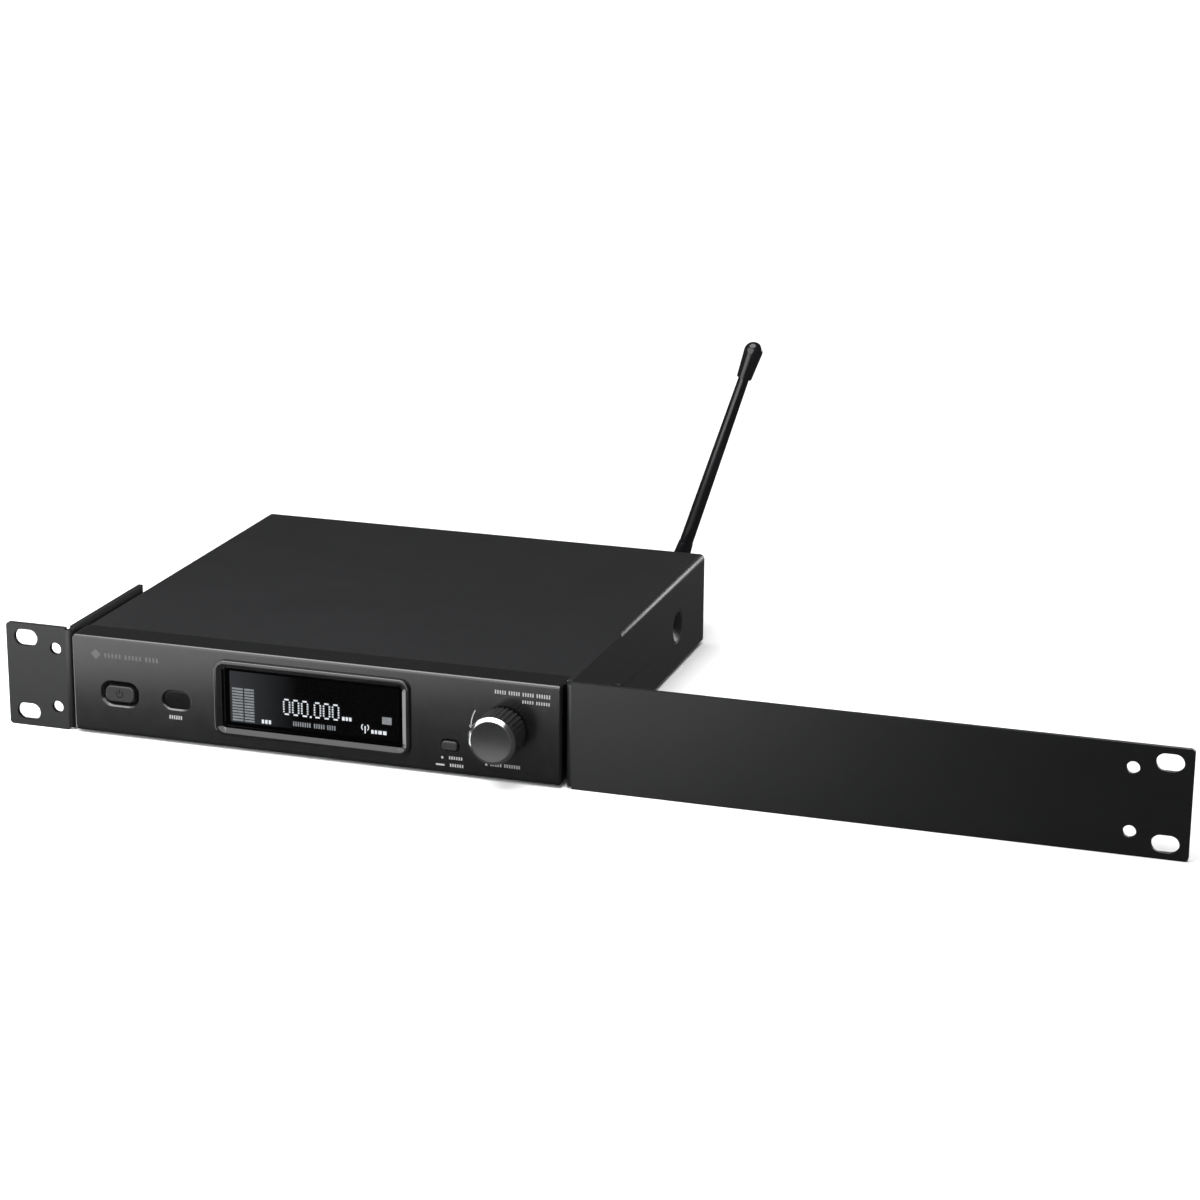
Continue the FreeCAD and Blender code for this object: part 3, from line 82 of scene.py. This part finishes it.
def coordinates(material, stretch=(1.0, 1.0, 1.0)):
    """Object coordinates in metres, stretched along the axes for brushed or drawn surfaces."""
    nodes = material.node_tree.nodes
    place = nodes.new("ShaderNodeTexCoord")
    mapping = nodes.new("ShaderNodeMapping")
    mapping.inputs["Scale"].default_value = stretch
    material.node_tree.links.new(place.outputs["Object"], mapping.inputs["Vector"])
    return mapping.outputs["Vector"]


def noise(material, vector, scale, detail=3.0, roughness=0.5):
    texture = material.node_tree.nodes.new("ShaderNodeTexNoise")
    texture.inputs["Scale"].default_value = scale
    texture.inputs["Detail"].default_value = detail
    texture.inputs["Roughness"].default_value = roughness
    material.node_tree.links.new(vector, texture.inputs["Vector"])
    return texture.outputs["Fac"]


def spread(material, value, low, high, start=0.3, end=0.7):
    """Map a noise value onto a range."""
    node = material.node_tree.nodes.new("ShaderNodeMapRange")
    node.inputs["From Min"].default_value = start
    node.inputs["From Max"].default_value = end
    node.inputs["To Min"].default_value = low
    node.inputs["To Max"].default_value = high
    material.node_tree.links.new(value, node.inputs["Value"])
    return node.outputs["Result"]


def tint(material, value, dark, light):
    """Colour that drifts between two close tones."""
    node = material.node_tree.nodes.new("ShaderNodeMix")
    node.data_type = "RGBA"
    node.inputs["A"].default_value = (*dark, 1.0)
    node.inputs["B"].default_value = (*light, 1.0)
    material.node_tree.links.new(value, node.inputs["Factor"])
    material.node_tree.links.new(node.outputs["Result"], shader_of(material).inputs["Base Color"])


def set_roughness(material, value):
    material.node_tree.links.new(value, shader_of(material).inputs["Roughness"])


def drift_gloss(material, value, middle):
    """Let the roughness wander a little either side of its middle value."""
    set_roughness(material, spread(material, value, middle - GLOSS_DRIFT, middle + GLOSS_DRIFT))


def bump(material, value, height, strength=1.0):
    """Relief of the given height in metres."""
    node = material.node_tree.nodes.new("ShaderNodeBump")
    node.inputs["Strength"].default_value = strength
    node.inputs["Distance"].default_value = height
    material.node_tree.links.new(value, node.inputs["Height"])
    previous = shader_of(material).inputs["Normal"]
    if previous.is_linked:
        material.node_tree.links.new(previous.links[0].from_socket, node.inputs["Normal"])
    material.node_tree.links.new(node.outputs["Normal"], previous)


# ---------------------------------------------------------------- materials

def powder_coat(name, dark, light, roughness=0.42, specular=0.45):
    """Fine-texture powder coat: a tiny orange peel, a finer grain and a slow drift in gloss."""
    material = new_material(name, dark, roughness, specular=specular)
    place = coordinates(material)
    tint(material, spread(material, noise(material, place, 35.0), 0.0, 1.0), dark, light)
    drift_gloss(material, noise(material, place, 180.0, 5.0), roughness)
    bump(material, noise(material, place, 900.0, 2.0), 0.00002, 0.5)
    bump(material, noise(material, place, 3200.0, 2.0), 0.00001, 0.5)
    return material


def moulded(name, dark, light, roughness, grain=2600.0, height=0.000012, specular=0.45):
    """Moulded plastic with spark-eroded grain and faint handling marks in its gloss."""
    material = new_material(name, dark, roughness, specular=specular)
    place = coordinates(material)
    tint(material, spread(material, noise(material, place, 28.0), 0.0, 1.0), dark, light)
    drift_gloss(material, noise(material, place, 240.0, 6.0), roughness)
    bump(material, noise(material, place, grain, 3.0), height, 0.6)
    return material


def gloss(name, dark, light, roughness=0.08):
    """Polished black plastic with a trace of waviness and fine dust in its gloss."""
    material = new_material(name, dark, roughness, specular=0.5)
    place = coordinates(material)
    tint(material, spread(material, noise(material, place, 60.0), 0.0, 1.0), dark, light)
    drift_gloss(material, noise(material, place, 400.0, 5.0), roughness + GLOSS_DRIFT)
    bump(material, noise(material, place, 120.0, 1.0), 0.00003, 0.25)
    return material


def brushed(name, dark, light, roughness=0.3, stretch=(1.0, 0.03, 1.0)):
    """Bare metal drawn along one axis."""
    material = new_material(name, dark, roughness, metallic=1.0)
    place = coordinates(material, stretch)
    lines = noise(material, place, 2600.0, 4.0)
    tint(material, spread(material, lines, 0.0, 1.0), dark, light)
    set_roughness(material, spread(material, lines, roughness - 0.06, roughness + 0.1))
    bump(material, lines, 0.000008, 0.5)
    return material


def plated(name, dark, light, roughness=0.16):
    """Nickel plate: bright, with cloudy patches where it has dulled."""
    material = new_material(name, dark, roughness, metallic=1.0)
    place = coordinates(material)
    cloud = noise(material, place, 220.0, 5.0)
    tint(material, spread(material, cloud, 0.0, 1.0), dark, light)
    set_roughness(material, spread(material, cloud, roughness, roughness + 0.16))
    bump(material, noise(material, place, 2400.0, 2.0), 0.000005, 0.4)
    return material


def rubber(name, dark, light, roughness=0.62):
    material = new_material(name, dark, roughness, specular=0.35)
    place = coordinates(material)
    tint(material, spread(material, noise(material, place, 90.0), 0.0, 1.0), dark, light)
    bump(material, noise(material, place, 1500.0, 4.0), 0.00003, 0.6)
    return material


def window_glass():
    """The display window: a clear smoked sheet under a hard coat, its smoke tone drifting faintly."""
    material = new_material("window_glass", (0.62, 0.62, 0.64), 0.0, specular=0.5)
    shader = shader_of(material)
    shader.inputs["Transmission Weight"].default_value = 1.0
    shader.inputs["IOR"].default_value = 1.15
    shader.inputs["Coat Weight"].default_value = 0.3
    shader.inputs["Coat Roughness"].default_value = 0.06
    place = coordinates(material)
    smoke = spread(material, noise(material, place, 90.0), 0.0, 1.0)
    tint(material, smoke, (0.6, 0.6, 0.62), (0.64, 0.64, 0.66))
    return material


def display_screen(name, left_edge, right_edge, reflection_strength):
    """The unlit face of the display: black, with a painted reflection: emission strongest at its left end
    that fades out towards the right.
    """
    material = new_material(name, (0.002, 0.002, 0.0025), 0.1, specular=0.2)
    shader = shader_of(material)
    # The emission colour and strength below paint a reflection on the screen; no lamp in the display gives
    # this light.
    shader.inputs["Emission Color"].default_value = (0.9, 0.95, 1.0, 1.0)
    place = coordinates(material)
    cells = spread(material, noise(material, place, 900.0), 0.0, 1.0)
    tint(material, cells, (0.0015, 0.0015, 0.002), (0.003, 0.003, 0.0035))
    split = material.node_tree.nodes.new("ShaderNodeSeparateXYZ")
    material.node_tree.links.new(place, split.inputs["Vector"])
    # Painted reflection: emission that fades from the screen's left end to nothing further right.
    painted_reflection = spread(material, split.outputs["X"], reflection_strength, 0.0, left_edge, right_edge)
    material.node_tree.links.new(painted_reflection, shader.inputs["Emission Strength"])
    return material


BEVEL_FACING = (-0.85, -0.8, -0.6, -0.55)
CUT_METAL = (0.5, 0.5, 0.51)
CUT_ROUGHNESS = 0.16


def bright_bevel(name, dark, light, roughness):
    """Satin black knob whose turned bevel, found by the way it faces, is cut back to bright metal."""
    material = moulded(name, dark, light, roughness, 3200.0)
    nodes = material.node_tree.nodes
    links = material.node_tree.links
    place = nodes.new("ShaderNodeTexCoord")
    split = nodes.new("ShaderNodeSeparateXYZ")
    links.new(place.outputs["Normal"], split.inputs["Vector"])
    facing = split.outputs["Y"]
    face_full, face_start, side_start, side_full = BEVEL_FACING
    after_sides = spread(material, facing, 0.0, 1.0, side_full, side_start)
    before_face = spread(material, facing, 1.0, 0.0, face_start, face_full)
    bevel = nodes.new("ShaderNodeMath")
    bevel.operation = "MULTIPLY"
    links.new(after_sides, bevel.inputs[0])
    links.new(before_face, bevel.inputs[1])
    links.new(bevel.outputs["Value"], shader_of(material).inputs["Metallic"])
    cut = nodes.new("ShaderNodeMix")
    cut.data_type = "RGBA"
    painted = shader_of(material).inputs["Base Color"].links[0].from_socket
    links.new(bevel.outputs["Value"], cut.inputs["Factor"])
    links.new(painted, cut.inputs["A"])
    cut.inputs["B"].default_value = (*CUT_METAL, 1.0)
    links.new(cut.outputs["Result"], shader_of(material).inputs["Base Color"])
    polish = nodes.new("ShaderNodeMix")
    links.new(bevel.outputs["Value"], polish.inputs["Factor"])
    links.new(shader_of(material).inputs["Roughness"].links[0].from_socket, polish.inputs["A"])
    polish.inputs["B"].default_value = CUT_ROUGHNESS
    links.new(polish.outputs["Result"], shader_of(material).inputs["Roughness"])
    return material


def glowing(name, color, strength):
    """Lit dots of the display: dark until lit, with a little unevenness from dot to dot."""
    material = new_material(name, (0.02, 0.02, 0.02), 0.5, specular=0.2)
    shader = shader_of(material)
    shader.inputs["Emission Color"].default_value = (*color, 1.0)
    place = coordinates(material)
    level = spread(material, noise(material, place, 700.0, 2.0), strength * 0.82, strength * 1.1)
    material.node_tree.links.new(level, shader.inputs["Emission Strength"])
    return material


def ink(name, color, specular=0.3):
    """Screen-printed ink with slightly broken edges."""
    material = new_material(name, color, 0.55, specular=specular)
    place = coordinates(material)
    darker = tuple(channel * 0.8 for channel in color)
    tint(material, spread(material, noise(material, place, 2600.0, 3.0), 0.0, 1.0), darker, color)
    bump(material, noise(material, place, 5000.0, 2.0), 0.000006, 0.5)
    return material


def circuit_board():
    """Green solder mask with a hint of copper tracks under it."""
    material = new_material("circuit_board", (0.01, 0.07, 0.035), 0.35, specular=0.5)
    place = coordinates(material)
    bricks = material.node_tree.nodes.new("ShaderNodeTexBrick")
    bricks.inputs["Scale"].default_value = 320.0
    bricks.inputs["Color1"].default_value = (0.012, 0.085, 0.04, 1.0)
    bricks.inputs["Color2"].default_value = (0.01, 0.065, 0.03, 1.0)
    bricks.inputs["Mortar"].default_value = (0.02, 0.13, 0.06, 1.0)
    material.node_tree.links.new(place, bricks.inputs["Vector"])
    material.node_tree.links.new(bricks.outputs["Color"], shader_of(material).inputs["Base Color"])
    bump(material, bricks.outputs["Fac"], 0.00003, 0.5)
    return material


# The painted reflection on the screen starts at its left end, fades out 34 mm further right, and glows this
# strongly at its start.
SCREEN_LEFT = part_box("display_module")[0].x
PAINTED_REFLECTION_END = SCREEN_LEFT + 0.034
PAINTED_REFLECTION_STRENGTH = 0.075


def make_materials():
    """One finish for each material slot of the record."""
    return {
        "panel_paint": powder_coat(
            "panel_paint", (0.0044, 0.0046, 0.0051), (0.0052, 0.0054, 0.006), 0.43, 0.39
        ),
        "front_plastic": moulded(
            "front_plastic", (0.0024, 0.0025, 0.0027), (0.003, 0.0031, 0.0033), 0.2, 2600.0, 0.000006, 0.58
        ),
        "bezel_gloss": gloss("bezel_gloss", (0.004, 0.004, 0.0045), (0.007, 0.007, 0.0075), 0.09),
        "window_glass": window_glass(),
        "display_black": display_screen("display_black", SCREEN_LEFT, PAINTED_REFLECTION_END, PAINTED_REFLECTION_STRENGTH),
        "foam": rubber("foam", (0.01, 0.01, 0.01), (0.02, 0.02, 0.02), 0.9),
        "button_plastic": moulded(
            "button_plastic", (0.008, 0.008, 0.0085), (0.011, 0.011, 0.0115), 0.34, specular=0.35
        ),
        "smoked_plastic": gloss("smoked_plastic", (0.002, 0.002, 0.0021), (0.0035, 0.0034, 0.0036), 0.08),
        "knob_finish": bright_bevel("knob_finish", (0.01, 0.0102, 0.0106), (0.013, 0.0132, 0.0136), 0.26),
        "switch_plastic": moulded("switch_plastic", (0.012, 0.012, 0.013), (0.02, 0.02, 0.02), 0.5),
        "bright_steel": brushed("bright_steel", (0.42, 0.42, 0.43), (0.62, 0.62, 0.63)),
        "circuit_board": circuit_board(),
        "zinc_screws": plated("zinc_screws", (0.5, 0.5, 0.5), (0.66, 0.66, 0.64), 0.25),
        "black_screws": powder_coat("black_screws", (0.006, 0.006, 0.007), (0.012, 0.012, 0.013), 0.34),
        "plug_rubber": moulded("plug_rubber", (0.006, 0.006, 0.0065), (0.009, 0.009, 0.0095), 0.5),
        "brass": plated("brass", (0.5, 0.34, 0.12), (0.68, 0.48, 0.2), 0.25),
        "heat_sink_aluminium": brushed("heat_sink_aluminium", (0.5, 0.5, 0.52), (0.68, 0.68, 0.7)),
        "flat_cable": moulded("flat_cable", (0.38, 0.38, 0.38), (0.46, 0.46, 0.46), 0.5),
        "jack_plastic": moulded("jack_plastic", (0.008, 0.008, 0.009), (0.013, 0.013, 0.014), 0.45, 1800.0),
        "port_metal": brushed("port_metal", (0.4, 0.4, 0.41), (0.58, 0.58, 0.6), 0.28),
        "latch_metal": brushed("latch_metal", (0.34, 0.34, 0.34), (0.5, 0.5, 0.5), 0.3),
        "nickel": plated("nickel", (0.5, 0.485, 0.46), (0.7, 0.68, 0.64)),
        "antenna_gloss": gloss("antenna_gloss", (0.004, 0.004, 0.0045), (0.007, 0.007, 0.008), 0.16),
    }


MATERIALS = make_materials()
LIT_WHITE = glowing("display_lit_white", (0.86, 0.9, 0.92), 1.7)
LIT_GREY = glowing("display_lit_grey", (0.7, 0.74, 0.76), 0.62)
WHITE_INK = ink("white_ink", (0.24, 0.24, 0.24))
GREY_INK = ink("grey_ink", (0.06, 0.06, 0.06))
DIM_INK = ink("dim_ink", (0.002, 0.002, 0.002), 0.05)


# ---------------------------------------------------------------- finishing the CAD nodes

EDGE_ROUNDING = {
    "long_rack_ear": 0.35, "short_rack_ear": 0.35, "top_cover": 0.25, "chassis_tray": 0.2,
    "rear_panel": 0.15, "front_panel": 0.2, "control_knob": 0.16, "power_button": 0.12,
    "back_button": 0.12, "cord_hook": 0.3, "input_left_jack": 0.2, "input_right_jack": 0.2,
    "antenna_ring": 0.15, "antenna_elbow": 0.25, "loop_jack_nuts": 0.15, "antenna_jack_nut": 0.15,
    "network_port": 0.15, "ear_screws": 0.12,
}
WELD_REACH = 0.000002
SHARP_ANGLE = math.radians(40)


def finish_node(node, piece, slots):
    """Give a CAD node its material and soften its edges a little."""
    piece.data.materials.clear()
    piece.data.materials.append(MATERIALS[slots[node]])
    for polygon in piece.data.polygons:
        polygon.material_index = 0
    weld = piece.modifiers.new("join_faces", "WELD")
    weld.merge_threshold = WELD_REACH
    if node in EDGE_ROUNDING:
        bevel = piece.modifiers.new("soft_edges", "BEVEL")
        bevel.width = EDGE_ROUNDING[node] * MM
        bevel.segments = 2
        bevel.limit_method = "ANGLE"
        bevel.angle_limit = SHARP_ANGLE
        bevel.use_clamp_overlap = True
        bevel.harden_normals = False


def finish_cad():
    slots = {entry["node"]: entry["material_slot"] for entry in frame["record"]["subparts"]}
    for node, piece in NODES.items():
        finish_node(node, piece, slots)


finish_cad()


# ---------------------------------------------------------------- flat marks

def plate_object(name, outlines, front, thickness, material, body):
    """Thin printed or lit shapes. Each outline is a list of (x, z) points in metres."""
    mesh = bmesh.new()
    for outline in outlines:
        near_ring = [mesh.verts.new((x, front, z)) for x, z in outline]
        far_ring = [mesh.verts.new((x, front + thickness, z)) for x, z in outline]
        mesh.faces.new(near_ring)
        mesh.faces.new(list(reversed(far_ring)))
        count = len(outline)
        for index in range(count):
            after = (index + 1) % count
            mesh.faces.new((near_ring[index], far_ring[index], far_ring[after], near_ring[after]))
    bmesh.ops.recalc_face_normals(mesh, faces=mesh.faces)
    data = bpy.data.meshes.new(name)
    mesh.to_mesh(data)
    mesh.free()
    piece = bpy.data.objects.new(name, data)
    bpy.context.scene.collection.objects.link(piece)
    data.materials.append(material)
    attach(piece, body)
    return piece


def bar(x, z, width, height):
    """A rectangle centred at x, z; all in millimetres."""
    half_width = width / 2 * MM
    half_height = height / 2 * MM
    cx = x * MM
    cz = z * MM
    return [
        (cx - half_width, cz - half_height), (cx + half_width, cz - half_height),
        (cx + half_width, cz + half_height), (cx - half_width, cz + half_height),
    ]


def disc(x, z, radius, sides=20):
    turn = 2 * math.pi / sides
    return [
        ((x + radius * math.cos(turn * step)) * MM, (z + radius * math.sin(turn * step)) * MM)
        for step in range(sides)
    ]


def diamond(x, z, reach):
    return [
        ((x + across * reach) * MM, (z + up * reach) * MM)
        for across, up in ((0, -1), (1, 0), (0, 1), (-1, 0))
    ]


def arc_band(x, z, radius, width, start, end, steps=18):
    """A curved stroke between two angles in degrees."""
    outer = []
    inner = []
    for step in range(steps + 1):
        angle = math.radians(start + (end - start) * step / steps)
        for ring, reach in ((outer, radius + width / 2), (inner, radius - width / 2)):
            ring.append(((x + reach * math.cos(angle)) * MM, (z + reach * math.sin(angle)) * MM))
    return outer + list(reversed(inner))


def blocks(x, z, widths, height, gap):
    """A row of small blocks that stands where a printed word would be, starting at x."""
    row = []
    for width in widths:
        row.append(bar(x + width / 2, z, width, height))
        x += width + gap
    return row


# ---------------------------------------------------------------- printed marks on the front

INK_THICKNESS = 0.00003
FRONT_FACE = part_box("front_panel")[0].y


def ink_on_front(name, outlines, shade=WHITE_INK):
    """Print on the front panel's face."""
    return plate_object(
        name, outlines, FRONT_FACE - INK_THICKNESS, INK_THICKNESS, shade, "chassis"
    )


def tick_row(left, right, z, height, tick=0.55, gap=0.45):
    """Small upright ticks that fill the place of a printed word, with a wider gap now and then."""
    row = []
    x = left
    count = 0
    while x + tick <= right + 0.01:
        row.append(bar(x + tick / 2, z, tick, height))
        count += 1
        x += tick + gap
        room_for_more = x + 3.0 * (tick + gap) < right
        if count % 5 == 0 and room_for_more:
            x += 1.6 * gap
    return row


MARK_LINE = 12.8
TITLE_RIGHT = -5.7
BACK_LINE = -14.15
OFF_LINE = -17.2
PUSH_LINE = -14.9
KNOB_X = -24.7


def add_front_print():
    """Plain marks where the panel is printed. Words are left out: rows of ticks hold their places."""
    ink_on_front("maker_place_mark", [diamond(-200.2, MARK_LINE, 2.2)], GREY_INK)
    ink_on_front("maker_place_ticks", tick_row(-196.4, -171.0, MARK_LINE - 0.2, 1.9, 0.9, 0.7), GREY_INK)
    ink_on_front("panel_title_ticks", tick_row(-28.4, TITLE_RIGHT, 15.4, 1.6))
    ink_on_front("panel_subtitle_ticks", tick_row(-17.1, TITLE_RIGHT, 12.4, 1.3))
    ink_on_front("sync_ticks", tick_row(-168.2, -161.7, -10.6, 1.6))
    back_dot = disc(-50.4, BACK_LINE - 0.15, 0.5)
    ink_on_front("back_marks", [back_dot] + tick_row(-47.6, -41.9, BACK_LINE, 1.3))
    hold_bar = bar(-51.3, OFF_LINE - 0.2, 3.6, 0.7)
    ink_on_front("power_off_marks", [hold_bar] + tick_row(-47.2, -40.7, OFF_LINE, 1.3))
    push_dot = disc(-32.0, PUSH_LINE - 0.3, 0.5)
    ink_on_front("push_marks", [push_dot] + tick_row(-30.3, -17.6, PUSH_LINE, 1.4))
    turn_arc = arc_band(KNOB_X, 0.0, 13.6, 0.45, 150.0, 180.0)
    arrow = [(-39.1 * MM, 0.5 * MM), (-37.5 * MM, 0.6 * MM), (-38.4 * MM, -1.2 * MM)]
    ink_on_front("knob_turn_mark", [turn_arc])
    ink_on_front("knob_turn_arrow", [arrow])


def add_power_symbol():
    """The usual ring and line, printed on the power button's cap."""
    low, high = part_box("power_button")
    x = (low.x + high.x) / 2 / MM
    z = (low.z + high.z) / 2 / MM
    outlines = [arc_band(x, z, 1.35, 0.32, 125.0, 415.0, 26), bar(x, z + 1.25, 0.34, 1.7)]
    front = low.y - INK_THICKNESS
    plate_object(
        "power_symbol", outlines, front, INK_THICKNESS * 2, DIM_INK, "power_button"
    )


add_front_print()
add_power_symbol()


# ---------------------------------------------------------------- the lit display

GLASS_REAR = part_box("display_window")[1].y
SCREEN = GLASS_REAR + 0.00008
SCREEN_THICKNESS = 0.00005
BEHIND_LEFT = 0.0007
BEHIND_DOWN = 0.0006


def zero_dots(x, z, width, height, dot):
    """A nought drawn in square dots."""
    columns = 5
    rows = 7
    step_x = width / (columns - 1)
    step_z = height / (rows - 1)
    spots = []
    for row in range(rows):
        for column in range(columns):
            side = column in (0, columns - 1) and 0 < row < rows - 1
            cap = row in (0, rows - 1) and 0 < column < columns - 1
            if side or cap:
                spots.append(bar(x + column * step_x, z + row * step_z, dot, dot))
    return spots


def lit(name, outlines, material):
    """Lit dots on the display, laid out on the front plane and then moved behind the window."""
    moved = [[(x - BEHIND_LEFT, z - BEHIND_DOWN) for x, z in outline] for outline in outlines]
    return plate_object(name, moved, SCREEN, SCREEN_THICKNESS, material, "chassis")


METER_STEPS = 12
METER_BOTTOM = -8.6
METER_PITCH = 1.2
READING_LEFT = -118.2
READING_BOTTOM = -3.8
FIGURE_PITCH = 3.9


def signal_icon(x, z):
    """An aerial between two curved waves."""
    right_wave = arc_band(x, z + 1.0, 1.5, 0.4, -50, 50, 6)
    left_wave = arc_band(x, z + 1.0, 1.5, 0.4, 130, 230, 6)
    return [bar(x, z, 0.5, 3.0), right_wave, left_wave]


def add_display_content():
    """Level meters at the left, a six-figure reading in noughts, and small marks round it."""
    meters = []
    for left, right in ((-140.3, -135.6), (-135.0, -130.8)):
        for step in range(METER_STEPS):
            z = METER_BOTTOM + step * METER_PITCH
            meters.append(bar((left + right) / 2, z, right - left, 0.75))
    lit("level_meters", meters, LIT_GREY)

    reading = []
    x = READING_LEFT
    for figure in range(6):
        if figure == 3:
            reading.append(bar(x + 0.2, READING_BOTTOM - 0.1, 0.75, 0.75))
            x += 1.6
        reading += zero_dots(x + 0.3, READING_BOTTOM, 2.5, 6.1, 0.62)
        x += FIGURE_PITCH
    lit("frequency_reading", reading, LIT_WHITE)
    lit("unit_mark", blocks(-92.8, -3.0, (1.1, 1.0, 1.0), 1.5, 0.45), LIT_WHITE)
    lit("group_marks", tick_row(-114.0, -106.4, -7.5, 1.9), LIT_GREY)
    lit("channel_marks", tick_row(-105.0, -95.6, -7.5, 1.9), LIT_GREY)
    lit("mode_mark", blocks(-127.6, -8.1, (1.0, 1.0, 1.0), 1.6, 0.5), LIT_WHITE)
    lit("key_icon", [bar(-73.7, -1.9, 4.0, 3.0)], LIT_GREY)
    lit("signal_icon", signal_icon(-83.0, -6.6), LIT_WHITE)
    lit("power_level_mark", blocks(-80.4, -7.1, (1.0, 1.0, 1.5, 1.5), 1.5, 0.5), LIT_WHITE)


add_display_content()


# ---------------------------------------------------------------- studio

FLOOR_LEVEL = cad_box[0].z - 0.0001
WORLD_STRENGTH = 0.08
SUN_STRENGTH = 3.85
SUN_SPREAD = 60.0


def add_floor():
    """A pale seamless floor that curves up into a backdrop far behind. It stays out of reflections."""
    mesh = bmesh.new()
    profile = [(-6.0, 0.0), (3.0, 0.0), (4.2, 0.12), (5.1, 0.5), (5.7, 1.3), (6.0, 2.6), (6.0, 7.0)]
    rows = []
    for y, z in profile:
        rows.append([mesh.verts.new((x, y, z + FLOOR_LEVEL)) for x in (-8.0, 8.0)])
    for first, second in zip(rows, rows[1:]):
        mesh.faces.new((first[0], first[1], second[1], second[0]))
    data = bpy.data.meshes.new("studio_floor")
    mesh.to_mesh(data)
    mesh.free()
    for polygon in data.polygons:
        polygon.use_smooth = True
    floor = bpy.data.objects.new("studio_floor", data)
    bpy.context.scene.collection.objects.link(floor)
    paper = new_material("studio_paper", (0.82, 0.82, 0.82), 0.9, specular=0.1)
    place = coordinates(paper)
    tint(paper, spread(paper, noise(paper, place, 3.0), 0.0, 1.0), (0.81, 0.81, 0.81), (0.83, 0.83, 0.83))
    data.materials.append(paper)
    floor.visible_glossy = False
    floor.visible_transmission = False


def add_light(name, place, target, width, height, power):
    """A soft rectangular lamp aimed at a point. It lights the object but isn't seen itself."""
    data = bpy.data.lights.new(name, "AREA")
    data.shape = "RECTANGLE"
    data.size = width
    data.size_y = height
    data.energy = power
    lamp = bpy.data.objects.new(name, data)
    lamp.location = place
    aim = Vector(target) - Vector(place)
    lamp.rotation_mode = "QUATERNION"
    lamp.rotation_quaternion = aim.to_track_quat("-Z", "Y")
    lamp.visible_camera = False
    lamp.visible_transmission = False
    bpy.context.scene.collection.objects.link(lamp)
    return lamp


def keep_off(lamp, pieces):
    """Keep a lamp's light off some pieces, as a flag beside the lamp would."""
    group = bpy.data.collections.new(lamp.name + "_kept_off")
    for piece in pieces:
        group.objects.link(piece)
    for entry in group.collection_objects:
        entry.light_linking.link_state = "EXCLUDE"
    lamp.light_linking.receiver_collection = group


def add_overhead(strength, spread_angle):
    """Even light from above, so that the floor is as pale far away as it is near."""
    data = bpy.data.lights.new("overhead", "SUN")
    data.energy = strength
    data.angle = math.radians(spread_angle)
    lamp = bpy.data.objects.new("overhead", data)
    lamp.rotation_euler = (math.radians(8.0), math.radians(-6.0), 0.0)
    lamp.visible_transmission = False
    bpy.context.scene.collection.objects.link(lamp)


def add_studio():
    world = bpy.data.worlds.new("studio_world")
    world.use_nodes = True
    background = world.node_tree.nodes["Background"]
    background.inputs["Color"].default_value = (1.0, 1.0, 1.0, 1.0)
    background.inputs["Strength"].default_value = WORLD_STRENGTH
    bpy.context.scene.world = world
    bpy.context.scene.view_settings.view_transform = "Standard"
    add_floor()
    add_overhead(SUN_STRENGTH, SUN_SPREAD)
    key = add_light("front_softbox", (-0.155, -0.114, 0.108), (-0.115, 0.0, 0.0), 0.461, 0.513, 2.45)
    keep_off(key, [NODES["display_window"], NODES["display_module"]])
    add_light("left_card", (-0.45, 0.0, -0.13), (-0.1, 0.0, -0.02), 0.3, 0.2, 0.8)
    add_light("rear_softbox", (0.35, 1.0, 0.12), (0.0, 0.12, 0.0), 0.5, 0.25, 3.0)


def add_camera():
    data = bpy.data.cameras.new("view")
    data.sensor_width = 36.0
    data.lens = 90.649
    data.clip_start = 0.05
    data.clip_end = 60.0
    camera = bpy.data.objects.new("view", data)
    camera.location = (0.34518, -1.05451, 0.38839)
    camera.rotation_euler = (math.radians(73.2808), math.radians(-0.4983), math.radians(17.5994))
    bpy.context.scene.collection.objects.link(camera)
    bpy.context.scene.camera = camera


add_studio()
add_camera()
